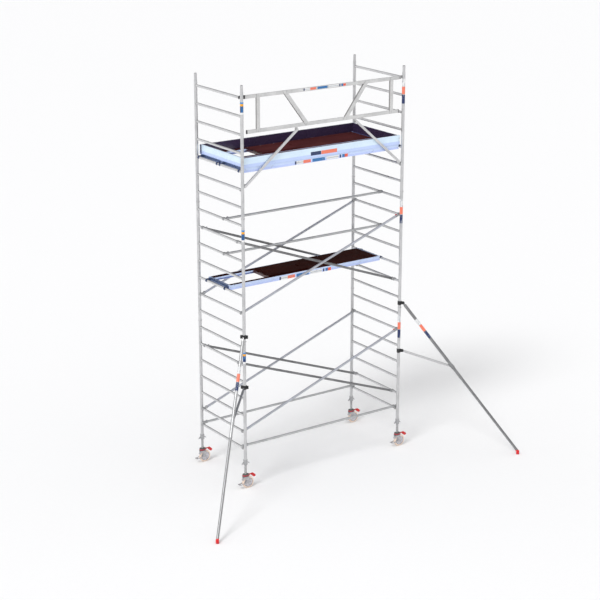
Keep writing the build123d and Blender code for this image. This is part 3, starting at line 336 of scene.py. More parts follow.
def deck_wood(name, light, dark, gloss, wear):
    """Film-faced plywood: dark resin facing with a fine wire-mesh print and grain showing through."""
    g = Graph(name)
    grain = g.noise(1.0, 6.0, 0.65, None, (3.0, 46.0, 46.0))
    broad = g.noise(2.2, 4.0, 0.6)
    streak = g.noise(1.0, 3.0, 0.5, None, (1.4, 17.0, 17.0))
    tone = g.math("ADD", g.math("MULTIPLY", grain, 0.6), g.math("MULTIPLY", streak, 0.4))
    colour = g.mix(g.fade(tone, 0.35, 0.65), dark, light)
    worn = g.fade(broad, 0.52, 0.72)
    colour = g.mix(g.math("MULTIPLY", worn, 0.30 * wear), colour, (0.16, 0.06, 0.05))
    dust = g.fade(g.noise(70.0, 6.0, 0.8), 0.62, 0.74)
    colour = g.mix(g.math("MULTIPLY", dust, 0.25 * wear), colour, (0.20, 0.11, 0.09))
    wave_x = g.math("SINE", g.math("MULTIPLY", g.x, 1400.0))
    wave_y = g.math("SINE", g.math("MULTIPLY", g.y, 1400.0))
    mesh = g.math("MULTIPLY", wave_x, wave_y)
    ply_edge = g.math("SINE", g.math("MULTIPLY", g.z, 4200.0))
    g.bump((mesh, 0.0002), (grain, 0.0003), (ply_edge, 0.00004))
    rough = g.math("MULTIPLY_ADD", grain, 0.22, gloss)
    return g.set(Base_Color=colour, Roughness=rough, Specular_IOR_Level=0.04)


upper_deck = deck_wood("deck_upper", (0.082, 0.019, 0.020), (0.042, 0.009, 0.010), 0.50, 0.4)
# the lower deck is the same plywood as the upper, painted much darker as shade under the upper platforms
lower_deck_shaded = deck_wood("deck_lower_shaded", (0.034, 0.0035, 0.0010), (0.015, 0.0015, 0.0006), 0.60, 0.08)
give(upper_deck, "upper_platform_near_deck", "upper_platform_far_deck", "upper_platform_far_hatch_lid")
give(lower_deck_shaded, "lower_platform_deck", "lower_platform_hatch_lid")

PALE_BLUE, LAVENDER = (0.72, 0.87, 1.0), (0.52, 0.62, 0.98)
END_BEAM_X = POST_X - 0.085
HINGE_BAR = (-0.6835, -0.6400)


def beam_row(g, face, x0, z0, tall, stretch=1.0):
    """The row of plain colour blocks along a beam or rail, from x0 rightwards."""
    parts = (
        (0.00, 0.03, NAVY),
        (0.03, 0.16, WHITE),
        (0.16, 0.30, SALMON),
        (0.33, 0.57, BLUE),
        (0.60, 0.83, WHITE),
        (0.85, 0.88, NAVY),
        (0.90, 0.95, BLUE),
        (0.95, 1.01, ORANGE_RED),
    )
    blocks = []
    for start, end, tone in parts:
        if tone == WHITE:
            thin = g.between(g.z, z0 + tall * 0.42, z0 + tall * 0.58)
            tone = g.mix(thin, WHITE, (0.30, 0.36, 0.42))
        span = g.between(g.x, x0 + start * stretch, x0 + end * stretch)
        area = g.all_of(span, g.between(g.z, z0, z0 + tall), face)
        blocks.append((area, tone))
    return blocks


def coated(g, tone, depth=0.5):
    """Glossy coat over an extruded section: faint extrusion lines, orange peel and chips."""
    peel = g.noise(420.0, 2.0)
    broad = g.noise(4.0, 4.0, 0.6)
    lines = g.noise(1.0, 2.0, 0.6, None, (4.0, 300.0, 300.0))
    colour = g.mix(g.math("MULTIPLY", g.fade(broad, 0.35, 0.75), 0.25), tone, (0.40, 0.52, 0.80))
    chips = g.fade(g.noise(85.0, 7.0, 0.85), 0.70, 0.74)
    colour = g.mix(g.math("MULTIPLY", chips, depth), colour, (0.33, 0.35, 0.40))
    streak = g.fade(g.noise(1.0, 4.0, 0.7, None, (2.0, 60.0, 60.0)), 0.6, 0.8)
    colour = g.mix(g.math("MULTIPLY", streak, 0.10), colour, (0.35, 0.40, 0.50))
    g.bump((lines, 0.0001), (peel, 0.00003))
    return colour, g.math("MULTIPLY_ADD", broad, 0.14, 0.20)


def beam_coat(node, label):
    g = Graph(f"{node}_coat")
    low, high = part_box(node)
    lower_band = g.fade(g.z, low.z + 0.040, low.z + 0.030)
    colour, rough = coated(g, g.mix(lower_band, (0.60, 0.72, 0.98), LAVENDER))
    inside = g.all_of(g.fade(g.y, low.y + 0.033, low.y + 0.035), g.fade(g.y, high.y - 0.033, high.y - 0.035))
    reach = g.math("ABSOLUTE", g.x)
    end_beam = g.all_of(inside, g.fade(reach, END_BEAM_X - 0.001, END_BEAM_X + 0.0005))
    claw = g.fade(reach, END_BEAM_X + 0.0375, END_BEAM_X + 0.0385)
    steel = g.mix(g.noise(24.0, 4.0), (0.13, 0.20, 0.40), (0.30, 0.40, 0.64))
    dark = g.mix(g.noise(60.0, 4.0), (0.020, 0.038, 0.11), (0.070, 0.11, 0.24))
    colour = g.mix(end_beam, colour, steel)
    colour = g.mix(claw, colour, dark)
    metal = g.math("MULTIPLY", g.any_of(end_beam, claw), 0.7)
    if "near" not in node:
        hinge_bar = g.all_of(inside, g.between(g.x, *HINGE_BAR))
        wood = g.mix(g.noise(40.0, 4.0), (0.030, 0.008, 0.006), (0.075, 0.022, 0.020))
        colour = g.mix(hinge_bar, colour, wood)
    if label:
        face = g.fade(g.y, low.y + 0.0009, low.y + 0.0004)
        colour, stuck = labels(g, colour, beam_row(g, face, *label))
        rough = g.lerp(stuck, rough, 0.4)
    return g.set(Base_Color=colour, Roughness=rough, Metallic=metal, Coat_Weight=0.3, Coat_Roughness=0.12)


give(beam_coat("lower_platform_frame", (-0.53, 3.160, 0.052)), "lower_platform_frame")
give(beam_coat("upper_platform_near_frame", (-0.54, 5.126, 0.050)), "upper_platform_near_frame")
give(beam_coat("upper_platform_far_frame", None), "upper_platform_far_frame")


def toe_coat(name, axis, outward):
    """Pale glossy outer face and dark top edge; the inner face is painted dark, a painted reflection of the
    shaded deck.
    """
    g = Graph(f"{name}_coat")
    low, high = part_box(name)
    lower_band = g.fade(g.z, low.z + 0.058, low.z + 0.044)
    colour, rough = coated(g, g.mix(lower_band, PALE_BLUE, (0.56, 0.68, 1.0)), 0.35)
    value = (g.x, g.y)[axis]
    outer = (high if outward > 0 else low)[axis]
    depth = g.math("MULTIPLY", g.math("SUBTRACT", outer, value), float(outward))
    inner = g.fade(depth, 0.0150, 0.0156)
    edge = g.all_of(g.fade(g.z, high.z - 0.0006, high.z - 0.0002), g.fade(depth, 0.003, 0.005))
    grain = g.noise(1.0, 5.0, 0.6, None, (3.0, 30.0, 50.0))
    # painted reflection: the inner face is painted dark, for the shaded deck it faces
    inner_face_shade = g.mix(grain, (0.016, 0.013, 0.045), (0.060, 0.036, 0.085))
    colour = g.mix(inner, colour, inner_face_shade)
    colour = g.mix(edge, colour, g.mix(grain, (0.05, 0.03, 0.04), (0.14, 0.10, 0.13)))
    if name == "toe_board_near":
        face = g.fade(g.y, low.y + 0.0009, low.y + 0.0004)
        tall = g.between(g.z, 5.228, 5.286)
        blocks = [
            (g.all_of(g.between(g.x, -0.245, -0.050), tall, face), NAVY),
            (g.all_of(g.between(g.x, -0.046, 0.255), tall, face), SALMON),
        ]
        colour = labels(g, colour, blocks)[0]
    return g.set(Base_Color=colour, Roughness=rough, Coat_Weight=0.3, Coat_Roughness=0.12)


for name, axis, outward in (
    ("toe_board_near", 1, -1),
    ("toe_board_far", 1, 1),
    ("toe_board_left", 0, -1),
    ("toe_board_right", 0, 1),
):
    give(toe_coat(name, axis, outward), name)

# ---------------------------------------------------------------- guard rail and props


# the rail's face behind the post's axis, and how far the bars stand proud of it
RAIL_FACE, BAR_LAP = 0.0276, 0.006
RAIL_TONES = ((0.72, 0.72, 0.715), (0.52, 0.52, 0.52))


def rail_metal(name):
    g = Graph(name)
    colour, rough, lines = drawn_metal(g, slanted(g, 1.0, 0.0), *RAIL_TONES, 0.6)
    top = g.fade(g.z, rung_z(20), rung_z(20) + 0.01)
    front = NEAR_Y + RAIL_FACE
    claw = g.all_of(top, g.fade(g.x, 0.0800 - POST_X, 0.0795 - POST_X))
    cap_left = g.fade(g.x, 0.1162 - POST_X, 0.1158 - POST_X)
    cap_right = g.fade(g.x, POST_X - 0.0792, POST_X - 0.0788)
    below = g.fade(g.z, rung_z(20) + 0.01, rung_z(20))
    cast = g.all_of(top, g.fade(g.x, POST_X - 0.0800, POST_X - 0.0795))
    casting = g.mix(g.fade(g.noise(260.0, 3.0), 0.4, 0.6), (0.34, 0.34, 0.345), (0.56, 0.56, 0.56))
    colour = g.mix(cast, colour, casting)
    dark = g.mix(g.noise(70.0, 4.0), (0.010, 0.010, 0.012), (0.040, 0.040, 0.045))
    ends = g.any_of(claw, g.all_of(below, g.any_of(cap_left, cap_right)))
    colour = g.mix(ends, colour, dark)
    # sides of the bars, in the shade of their rolled edges
    lapped = g.between(g.y, front - BAR_LAP + 0.0006, front - 0.0003, 0.0002)
    open_side = g.all_of(near(g, g.z, rung_z(20.05), 0.236), g.between(g.y, front - 0.001, front + 0.0246))
    shade = g.any_of(lapped, open_side)
    colour = g.mix(g.math("MULTIPLY", shade, 0.62), colour, (0.10, 0.09, 0.09))
    face = g.fade(g.y, front + 0.0008, front + 0.0003)
    colour, stuck = labels(g, colour, beam_row(g, face, -0.388, 6.254, 0.036, 0.79))
    g.bump((lines, 0.00006), (g.noise(160.0, 3.0), 0.00004))
    covered = g.any_of(stuck, ends)
    return g.set(Base_Color=colour, Roughness=g.lerp(covered, rough, 0.4), Metallic=g.lerp(covered, 0.5, 0.0))


give(rail_metal("guard_rail"), "guard_rail_frame")


def plain_metal(name, dx, dz, light=(0.74, 0.74, 0.745), dark=(0.50, 0.50, 0.51), worn=0.5):
    g = Graph(name)
    colour, rough, lines = drawn_metal(g, slanted(g, dx, dz), light, dark, worn)
    g.bump((lines, 0.00006), (g.noise(160.0, 3.0), 0.00004))
    return g.set(Base_Color=colour, Roughness=rough, Metallic=0.7)


give(plain_metal("prop_right", 0.965, -0.84), "guard_rail_prop_right")
give(plain_metal("prop_left", 0.965, 0.84), "guard_rail_prop_left")

# ---------------------------------------------------------------- castors


# radii about the axle
HUB_EDGE, RIM_RING = (0.0215, 0.0205), (0.0728, 0.0768)
TYRE_EDGE, TREAD_EDGE = (0.0765, 0.0775), (0.0985, 0.0998)


def castor_materials(corner):
    """The wheel's hub, rim and tyre, each from its distance from the axle."""
    wheel_low, wheel_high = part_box(f"castor_{corner}_wheel")
    axle = (wheel_low + wheel_high) / 2
    g = Graph(f"castor_wheel_{corner}")
    dx = g.math("SUBTRACT", g.x, axle.x)
    dz = g.math("SUBTRACT", g.z, axle.z)
    reach = g.math("SQRT", g.math("ADD", g.math("POWER", dx, 2.0), g.math("POWER", dz, 2.0)))
    tyre = g.fade(reach, *TYRE_EDGE)
    fine = g.noise(160.0, 4.0, 0.6)
    broad = g.noise(18.0, 4.0, 0.6)
    dust = g.fade(g.noise(60.0, 6.0, 0.8), 0.5, 0.75)
    cream = g.mix(broad, (0.80, 0.60, 0.48), (0.88, 0.74, 0.63))
    tread = g.fade(reach, *TREAD_EDGE)
    cream = g.mix(g.math("MULTIPLY", g.math("MAXIMUM", dust, tread), 0.22), cream, (0.50, 0.42, 0.37))
    rim = g.mix(broad, (0.40, 0.38, 0.42), (0.84, 0.83, 0.86))
    rim = g.mix(g.math("MULTIPLY", dust, 0.30), rim, (0.36, 0.34, 0.37))
    ring = g.between(reach, *RIM_RING, 0.0003)
    rim = g.mix(ring, rim, (0.16, 0.14, 0.15))
    hub = g.fade(reach, *HUB_EDGE)
    rim = g.mix(hub, rim, (0.17, 0.17, 0.175))
    g.bump((fine, 0.0001), (broad, 0.0004))
    rim_rough = g.math("MULTIPLY_ADD", fine, 0.2, 0.25)
    tyre_rough = g.math("MULTIPLY_ADD", fine, 0.2, 0.45)
    wheel = g.set(Base_Color=g.mix(tyre, rim, cream), Roughness=g.lerp(tyre, rim_rough, tyre_rough))
    give(wheel, f"castor_{corner}_wheel")


def zinc(name, light=(0.46, 0.465, 0.475), dark=(0.26, 0.265, 0.28)):
    g = Graph(name)
    spangle = g.cells(130.0).outputs["Color"]
    grey = g.add("ShaderNodeRGBToBW", {}, {0: spangle}).outputs[0]
    broad = g.noise(22.0, 5.0, 0.65)
    colour = g.mix(g.math("MULTIPLY_ADD", grey, 0.5, g.math("MULTIPLY", broad, 0.5)), dark, light)
    stain = g.fade(g.noise(34.0, 6.0, 0.8), 0.58, 0.78)
    colour = g.mix(g.math("MULTIPLY", stain, 0.35), colour, (0.14, 0.125, 0.115))
    return g, colour, g.math("MULTIPLY_ADD", broad, 0.25, 0.26)


def leg_metal():
    g, colour, rough = zinc("castor_leg", (0.72, 0.725, 0.735), (0.48, 0.485, 0.495))
    turn = g.math("SINE", g.math("MULTIPLY", g.z, 2 * math.pi / 0.008))
    # painted shade: the thread's grooves are darkened
    colour = g.mix(g.fade(turn, 0.1, -0.7), colour, (0.22, 0.22, 0.225))
    g.bump((turn, 0.0008), (g.noise(200.0, 3.0), 0.00005))
    return g.set(Base_Color=colour, Roughness=rough, Metallic=1.0)


def nut_metal():
    g, colour, rough = zinc("castor_nut", (0.58, 0.585, 0.595), (0.30, 0.305, 0.315))
    g.bump((g.noise(220.0, 4.0, 0.6), 0.0003))
    return g.set(Base_Color=colour, Roughness=rough, Metallic=1.0)


HEAD_FOOT, FOLD_FOOT, FOLD_TOP, BAND_TOP = (0.2030, 0.2045), 0.2125, 0.2145, 0.2330


def fork_metal():
    g, colour, rough = zinc("castor_fork", (0.60, 0.59, 0.61), (0.34, 0.335, 0.35))
    head = g.fade(g.z, *HEAD_FOOT)
    olive = g.mix(g.noise(50.0, 5.0, 0.65), (0.045, 0.047, 0.040), (0.13, 0.13, 0.12))
    colour = g.mix(head, colour, olive)
    band = g.between(g.z, FOLD_TOP, BAND_TOP)
    red = g.mix(g.noise(40.0, 4.0), (0.30, 0.012, 0.030), (0.56, 0.045, 0.075))
    fold = g.between(g.z, FOLD_FOOT, FOLD_TOP)
    colour = g.mix(fold, colour, (0.02, 0.02, 0.02))
    colour = g.mix(band, colour, red)
    g.bump((g.noise(220.0, 4.0, 0.6), 0.0002), (band, 0.0005))
    return g.set(Base_Color=colour, Roughness=g.lerp(band, rough, 0.34), Metallic=g.lerp(head, 0.5, 0.0))


CORNERS = ("near_left", "near_right", "far_left", "far_right")
for corner in CORNERS:
    castor_materials(corner)
give(leg_metal(), *[f"castor_{c}_leg" for c in CORNERS])
give(nut_metal(), *[f"castor_{c}_nut" for c in CORNERS])
give(fork_metal(), *[f"castor_{c}_fork" for c in CORNERS])
give(red_plastic("pedal_red"), *[f"castor_{c}_brake_pedal" for c in CORNERS])

# ---------------------------------------------------------------- stabilisers

PIVOT_R, CLAMP_Z, FOOT_REACH, BALL_Z = 0.060, 2.54, 2.03, 0.050
# the right stabiliser is the same drawn tube as the left, its tones painted darker as shade
LEG_TONES = {
    "left": ((0.52, 0.52, 0.525), (0.34, 0.345, 0.35)),
    "right": ((0.34, 0.34, 0.345), (0.18, 0.182, 0.188)),
}
# pale tone painted on the right stabiliser's arm as light falling on it
ARM_PAINTED_LIGHT = (0.62, 0.62, 0.625)


def black_coat():
    g = Graph("clamp_black")
    grain = g.noise(330.0, 3.0, 0.6)
    broad = g.noise(26.0, 5.0, 0.65)
    rub = g.fade(g.noise(75.0, 7.0, 0.85), 0.64, 0.70)
    colour = g.mix(broad, (0.006, 0.006, 0.007), (0.026, 0.026, 0.029))
    colour = g.mix(g.math("MULTIPLY", rub, 0.5), colour, (0.20, 0.20, 0.21))
    g.bump((grain, 0.0003))
    return g.set(Base_Color=colour, Roughness=g.math("MULTIPLY_ADD", grain, 0.3, 0.30))


def stabiliser_lines(g, side, post_x, heading):
    """Coordinates about the stabiliser's slanted tube: distance along it, and the drawn-out pattern."""
    ux, uy = side * math.sqrt(0.5), -math.sqrt(0.5)
    out_x = g.math("MULTIPLY", g.math("SUBTRACT", g.x, post_x), ux)
    out = g.math("ADD", out_x, g.math("MULTIPLY", g.math("SUBTRACT", g.y, NEAR_Y), uy))
    drop = g.math("SUBTRACT", CLAMP_Z, g.z)
    first = g.math("SUBTRACT", out, PIVOT_R)
    s = g.math("ADD", g.math("MULTIPLY", first, heading[0]), g.math("MULTIPLY", drop, heading[1]))
    across = g.math("SUBTRACT", g.math("MULTIPLY", first, heading[1]), g.math("MULTIPLY", drop, heading[0]))
    aside = g.math("ADD", g.math("MULTIPLY", g.x, -uy), g.math("MULTIPLY", g.y, ux))
    along = g.vector(
        g.math("MULTIPLY", s, ALONG), g.math("MULTIPLY", across, ACROSS), g.math("MULTIPLY", aside, ACROSS)
    )
    return s, across, along


give(black_coat(), "stabiliser_left_clamps", "stabiliser_right_clamps")
fall = math.hypot(FOOT_REACH - PIVOT_R, CLAMP_Z - BALL_Z)
HEADING = ((FOOT_REACH - PIVOT_R) / fall, (CLAMP_Z - BALL_Z) / fall)
for name, side, first in (("left", -1, 0.470), ("right", 1, 0.345)):
    g = Graph(f"stabiliser_tube_{name}")
    s, across, along = stabiliser_lines(g, side, side * POST_X, HEADING)
    colour, rough, lines = drawn_metal(g, along, *LEG_TONES[name], 0.6)
    on_tube = g.between(across, -0.0262, 0.0262)
    speck = g.noise(90.0, 2.0)
    pale = g.mix(g.fade(speck, 0.52, 0.56), WHITE, PALE_GREY)
    navy = g.mix(g.fade(speck, 0.62, 0.65), NAVY, PALE_GREY)
    bands = ((0.000, 0.115, pale), (0.118, 0.245, SALMON), (0.253, 0.390, navy))
    blocks = [(g.all_of(g.between(s, first + a, first + b), on_tube), tone) for a, b, tone in bands]
    colour, stuck = labels(g, colour, blocks)
    arm = g.fade(across, 0.030, 0.034)
    arm = g.math("MAXIMUM", arm, g.fade(across, -0.030, -0.034))
    # painted light and shade on the arms: the left arm is darkened as shade, the right arm painted pale as
    # lit
    shade = (0.17, 0.18, 0.20) if name == "left" else ARM_PAINTED_LIGHT
    colour = g.mix(g.math("MULTIPLY", arm, 0.75), colour, shade)
    g.bump((lines, 0.00006), (g.noise(160.0, 3.0), 0.00004), (stuck, 0.0002))
    give(
        g.set(Base_Color=colour, Roughness=g.lerp(stuck, rough, 0.34), Metallic=g.lerp(stuck, SHEEN, 0.0)),
        f"stabiliser_{name}_outer_tube_and_arm",
    )

    g = Graph(f"stabiliser_leg_{name}")
    s, across, along = stabiliser_lines(g, side, side * POST_X, HEADING)
    colour, rough, lines = drawn_metal(g, along, *LEG_TONES[name], 0.7)
    shadow = g.fade(across, 0.004, 0.017)
    colour = g.mix(g.math("MULTIPLY", shadow, 0.55), colour, (0.16, 0.16, 0.165))
    foot = g.fade(g.z, 0.0775, 0.0765)
    mottle = g.noise(40.0, 5.0, 0.7)
    red = g.mix(mottle, (0.55, 0.004, 0.008), (0.80, 0.012, 0.016))
    grime = g.all_of(g.fade(g.z, 0.022, 0.004), g.fade(mottle, 0.35, 0.6))
    red = g.mix(g.math("MULTIPLY", grime, 0.6), red, (0.07, 0.03, 0.028))
    colour = g.mix(foot, colour, red)
    g.bump((lines, 0.00006), (g.noise(300.0, 3.0), 0.00008))
    give(
        g.set(Base_Color=colour, Roughness=g.lerp(foot, rough, 0.42), Metallic=g.lerp(foot, SHEEN, 0.0)),
        f"stabiliser_{name}_inner_leg",
    )

# ---------------------------------------------------------------- small pieces built on the frame


def piece(name, bm, material, body):
    """Turns bm into a smooth-shaded object that rides on a body."""
    bmesh.ops.recalc_face_normals(bm, faces=bm.faces)
    mesh = bpy.data.meshes.new(name)
    bm.to_mesh(mesh)
    bm.free()
    mesh.polygons.foreach_set("use_smooth", [True] * len(mesh.polygons))
    mesh.materials.append(material)
    made = bpy.data.objects.new(name, mesh)
    bpy.context.scene.collection.objects.link(made)
    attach(made, body)


def lathe(bm, origin, axis, profile, sides=14):
    """Turns (radius, height) pairs about axis; a first or last radius of 0 closes the form."""
    turn = Vector(axis).to_track_quat("Z", "Y").to_matrix()
    rings = []
    for radius, height in profile:
        if radius == 0:
            rings.append([bm.verts.new(Vector(origin) + turn @ Vector((0, 0, height)))])
            continue
        ring = []
        for n in range(sides):
            a = 2 * math.pi * n / sides
            spot = Vector((radius * math.cos(a), radius * math.sin(a), height))
            ring.append(bm.verts.new(Vector(origin) + turn @ spot))
        rings.append(ring)
    for low, high in zip(rings, rings[1:]):
        for n in range(sides):
            m = (n + 1) % sides
            if len(low) == 1:
                bm.faces.new((low[0], high[n], high[m]))
            elif len(high) == 1:
                bm.faces.new((low[n], low[m], high[0]))
            else:
                bm.faces.new((low[n], low[m], high[m], high[n]))


RIVET = (
    (0.0062, -0.0006), (0.0062, 0.0006), (0.0052, 0.0020), (0.0030, 0.0030),
    (0.0012, 0.0032), (0.0010, 0.0024), (0, 0.0022),
)
SCREW = (
    (0.0065, -0.0004), (0.0064, 0.0004), (0.0048, 0.0012),
    (0.0024, 0.0013), (0.0018, 0.0004), (0, 0.0003),
)


def weld_bead(bm, x, y_post, inward, z, rng):
    """Rippled fillet along the line where a rung meets a post."""
    steps, sides = 56, 6
    phase = rng.uniform(0, 6.28)
    rings = []
    for n in range(steps):
        a = 2 * math.pi * n / steps
        dx = RUNG_R * math.cos(a)
        y = math.sqrt(POST_R**2 - dx**2)
        centre = Vector((x + dx * 1.03, y_post + inward * (y + 0.0006), z + RUNG_R * 1.03 * math.sin(a)))
        out = Vector((math.cos(a), 0, math.sin(a)))
        ripple = 1.0 + 0.16 * math.sin(18 * a + phase) + rng.uniform(-0.06, 0.06)
        ring = []
        for k in range(sides):
            b = 2 * math.pi * k / sides
            offset = out * math.cos(b) + Vector((0, inward, 0)) * math.sin(b)
            ring.append(bm.verts.new(centre + offset * 0.0026 * ripple))
        rings.append(ring)
    for n in range(steps):
        for k in range(sides):
            a, b = rings[n], rings[(n + 1) % steps]
            m = (k + 1) % sides
            bm.faces.new((a[k], a[m], b[m], b[k]))


def weld_metal():
    g = Graph("weld")
    scale = g.noise(150.0, 4.0, 0.6)
    colour = g.mix(scale, (0.30, 0.30, 0.30), (0.62, 0.62, 0.61))
    g.bump((g.noise(600.0, 3.0), 0.0003))
    return g.set(Base_Color=colour, Roughness=g.math("MULTIPLY_ADD", scale, 0.3, 0.28), Metallic=1.0)


def rivet_metal():
    g = Graph("rivet")
    scale = g.noise(300.0, 3.0, 0.6)
    colour = g.mix(scale, (0.34, 0.34, 0.35), (0.62, 0.62, 0.63))
    g.bump((scale, 0.0001))
    return g.set(Base_Color=colour, Roughness=g.math("MULTIPLY_ADD", scale, 0.25, 0.22), Metallic=1.0)


weld, rivet = weld_metal(), rivet_metal()
RUNGS, DECK_SCREWS, EDGE = 21, 12, 0.014
RIVET_INSET, CLAW_SIDE = 0.052, 0.0223  # of a brace's rivets, along the tube and across it
rng = random.Random(5)
for side, x in (("left", -POST_X), ("right", POST_X)):
    bm = bmesh.new()
    for number in range(1, RUNGS + 1):
        weld_bead(bm, x, NEAR_Y, 1, rung_z(number), rng)
        weld_bead(bm, x, FAR_Y, -1, rung_z(number), rng)
    piece(f"weld_beads_{side}", bm, weld, "tower")

bm = bmesh.new()
plan = [("base_brace_near", 1, 1, 0.040), ("base_brace_far", 1, 1, 0.040)]
plan += [("hand_rail_low", 12, 12, 0.0), ("hand_rail_high", 14, 14, 0.0)]
for side in ("near", "far"):
    for level, low_rung in (("lower", 2), ("upper", 9)):
        plan.append((f"brace_{side}_{level}_rising", low_rung, low_rung + 4, 0.0))
        plan.append((f"brace_{side}_{level}_falling", low_rung + 4, low_rung, 0.0))
for node, first, last, lift in plan:
    low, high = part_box(node)
    start = Vector((-POST_X, (low.y + high.y) / 2, rung_z(first) + lift))
    way = Vector((2 * POST_X, 0, rung_z(last) - rung_z(first)))
    run = way.length
    way.normalize()
    for distance in (RIVET_INSET, run - RIVET_INSET):
        for facing in (-1, 1):
            lathe(bm, start + way * distance + Vector((0, facing * CLAW_SIDE, 0)), (0, facing, 0), RIVET)
piece("brace_rivets", bm, rivet, "tower")

bm = bmesh.new()
plain_x = (-0.96, -0.48, 0.0, 0.48, 0.96)
hatch_x = (-0.661, -0.30, 0.18, 0.62, 1.06)
for node, crossings in (
    ("lower_platform_frame", hatch_x),
    ("upper_platform_near_frame", plain_x),
    ("upper_platform_far_frame", hatch_x),
):
    low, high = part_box(node)
    for x in (*crossings, -END_BEAM_X - 0.019, END_BEAM_X + 0.019):
        for y, facing in ((low.y, -1), (high.y, 1)):
            for dx, dz in ((-0.012, 0.026), (0.012, 0.044)):
                lathe(bm, (x + dx, y, low.z + dz), (0, facing, 0), RIVET)
piece("platform_rivets", bm, rivet, "tower")

bm = bmesh.new()
for node in ("lower_platform_deck", "upper_platform_near_deck", "upper_platform_far_deck"):
    low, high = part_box(node)
    for n in range(DECK_SCREWS):
        x = low.x + 0.06 + (high.x - low.x - 0.12) * n / (DECK_SCREWS - 1)
        for y in (low.y + EDGE, high.y - EDGE):
            lathe(bm, (x, y, high.z), (0, 0, 1), SCREW)
piece("deck_screws", bm, rivet, "tower")

bm = bmesh.new()
for side in (-1, 1):
    for x, number in ((1.260, 19.1), (1.260, 21), (0.384, 19.1), (0.747, 21)):
        spot = Vector((0.045 + side * x, NEAR_Y + RAIL_FACE - BAR_LAP, rung_z(number)))
        lathe(bm, spot + Vector((0, 0, 0.012)), (0, -1, 0), RIVET)
        lathe(bm, spot - Vector((0, 0, 0.012)), (0, -1, 0), RIVET)
piece("guard_rail_rivets", bm, rivet, "tower")

bm = bmesh.new()
for node, facing in (("toe_board_near", -1), ("toe_board_far", 1)):
    low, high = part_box(node)
    face = low.y if facing < 0 else high.y
    for x in (low.x + EDGE, high.x - EDGE):
        for share in (0.35, 0.65):
            lathe(bm, (x, face, low.z + share * (high.z - low.z)), (0, facing, 0), RIVET)
piece("toe_board_rivets", bm, rivet, "tower")

# ---------------------------------------------------------------- floor, light and camera


FLOOR_R, FLOOR_DROP = 260.0, 0.0005


def floor_white():
    g = Graph("floor")
    speck = g.noise(14.0, 4.0)
    colour = g.mix(speck, (0.905, 0.905, 0.91), (0.925, 0.925, 0.925))
    return g.set(Base_Color=colour, Roughness=0.85, Specular_IOR_Level=0.15)


bm = bmesh.new()
bmesh.ops.create_circle(bm, cap_ends=True, cap_tris=False, segments=96, radius=FLOOR_R)
mesh = bpy.data.meshes.new("floor")
bm.to_mesh(mesh)
bm.free()
mesh.materials.append(floor_white())
floor = bpy.data.objects.new("floor", mesh)
floor.location.z = -FLOOR_DROP
bpy.context.scene.collection.objects.link(floor)

# the dark screen: where it stands, how it fades out sideways and towards the horizon
SCREEN_HEADING, SCREEN_TONE = (0.572, 0.820, 0.0), (0.10, 0.10, 0.11, 1)
SCREEN_SPREAD, SCREEN_RISE = (0.30, 0.75), (0.20, 0.34)

world = bpy.data.worlds.new("studio")
bpy.context.scene.world = world
world.use_nodes = True
tree = world.node_tree
background = tree.nodes["Background"]
coords = tree.nodes.new("ShaderNodeTexCoord")
split = tree.nodes.new("ShaderNodeSeparateXYZ")
tree.links.new(coords.outputs["Generated"], split.inputs[0])
ramp = tree.nodes.new("ShaderNodeValToRGB")
ramp.color_ramp.elements[0].position = 0.0
ramp.color_ramp.elements[0].color = (1.0, 1.0, 1.0, 1)
ramp.color_ramp.elements[1].position = 1.0
ramp.color_ramp.elements[1].color = (1.0, 1.0, 1.0, 1)
for position, level in ((0.20, 0.97), (0.32, 0.55), (0.45, 0.60), (0.62, 1.0)):
    stop = ramp.color_ramp.elements.new(position)
    stop.color = (level, level, level * 1.01, 1)
tree.links.new(split.outputs[2], ramp.inputs[0])
background.inputs[1].default_value = 0.95
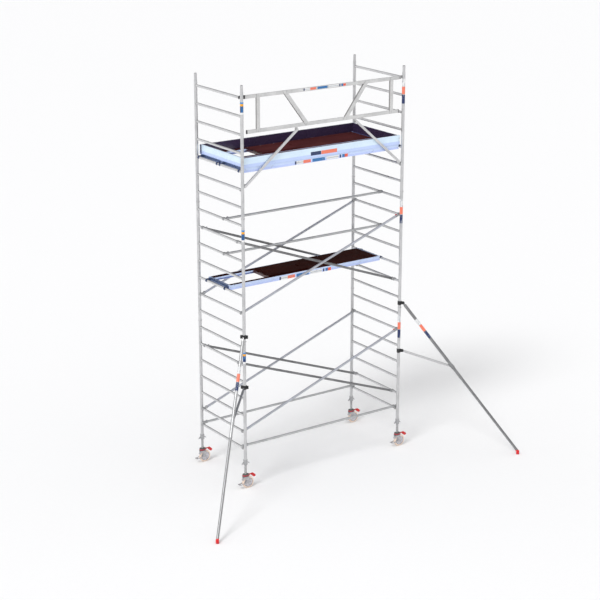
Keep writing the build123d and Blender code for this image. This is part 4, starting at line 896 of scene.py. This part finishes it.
# a dark screen behind the tower, clear of the horizon, which draws the tubes' upper edges
facing = tree.nodes.new("ShaderNodeVectorMath")
facing.operation = "DOT_PRODUCT"
facing.inputs[1].default_value = SCREEN_HEADING
tree.links.new(coords.outputs["Generated"], facing.inputs[0])
screen = tree.nodes.new("ShaderNodeMapRange")
screen.interpolation_type = "SMOOTHSTEP"
screen.inputs["From Min"].default_value, screen.inputs["From Max"].default_value = SCREEN_SPREAD
tree.links.new(facing.outputs["Value"], screen.inputs["Value"])
above = tree.nodes.new("ShaderNodeMapRange")
above.interpolation_type = "SMOOTHSTEP"
above.inputs["From Min"].default_value, above.inputs["From Max"].default_value = SCREEN_RISE
tree.links.new(split.outputs[2], above.inputs["Value"])
share = tree.nodes.new("ShaderNodeMath")
share.operation = "MULTIPLY"
tree.links.new(screen.outputs[0], share.inputs[0])
tree.links.new(above.outputs[0], share.inputs[1])
blend = tree.nodes.new("ShaderNodeMix")
blend.data_type = "RGBA"
blend.inputs[7].default_value = SCREEN_TONE
tree.links.new(share.outputs[0], blend.inputs[0])
tree.links.new(ramp.outputs[0], blend.inputs[6])
tree.links.new(blend.outputs[2], background.inputs[0])


def sun(name, heading, energy, softness):
    light = bpy.data.lights.new(name, "SUN")
    light.energy = energy
    light.angle = math.radians(softness)
    made = bpy.data.objects.new(name, light)
    made.rotation_mode = "QUATERNION"
    made.rotation_quaternion = Vector(heading).to_track_quat("-Z", "Y")
    bpy.context.scene.collection.objects.link(made)


sun("key", (0.72, 0.30, -0.85), 1.45, 18.0)

# solved from the photograph: metres, radians, and millimetres of focal length
EYE, LOOK_DOWN, LOOK_RIGHT, LENS = (-14.7546, -20.4221, 10.859), 0.306802, 0.608902, 99.91

camera = bpy.data.cameras.new("camera")
camera.lens = LENS
camera.sensor_width = 36.0
camera.clip_end = 600.0
eye = bpy.data.objects.new("camera", camera)
eye.location = EYE
eye.rotation_euler = Euler((math.pi / 2 - LOOK_DOWN, 0.0, -LOOK_RIGHT))
bpy.context.scene.collection.objects.link(eye)
bpy.context.scene.camera = eye
bpy.context.scene.view_settings.view_transform = "Standard"
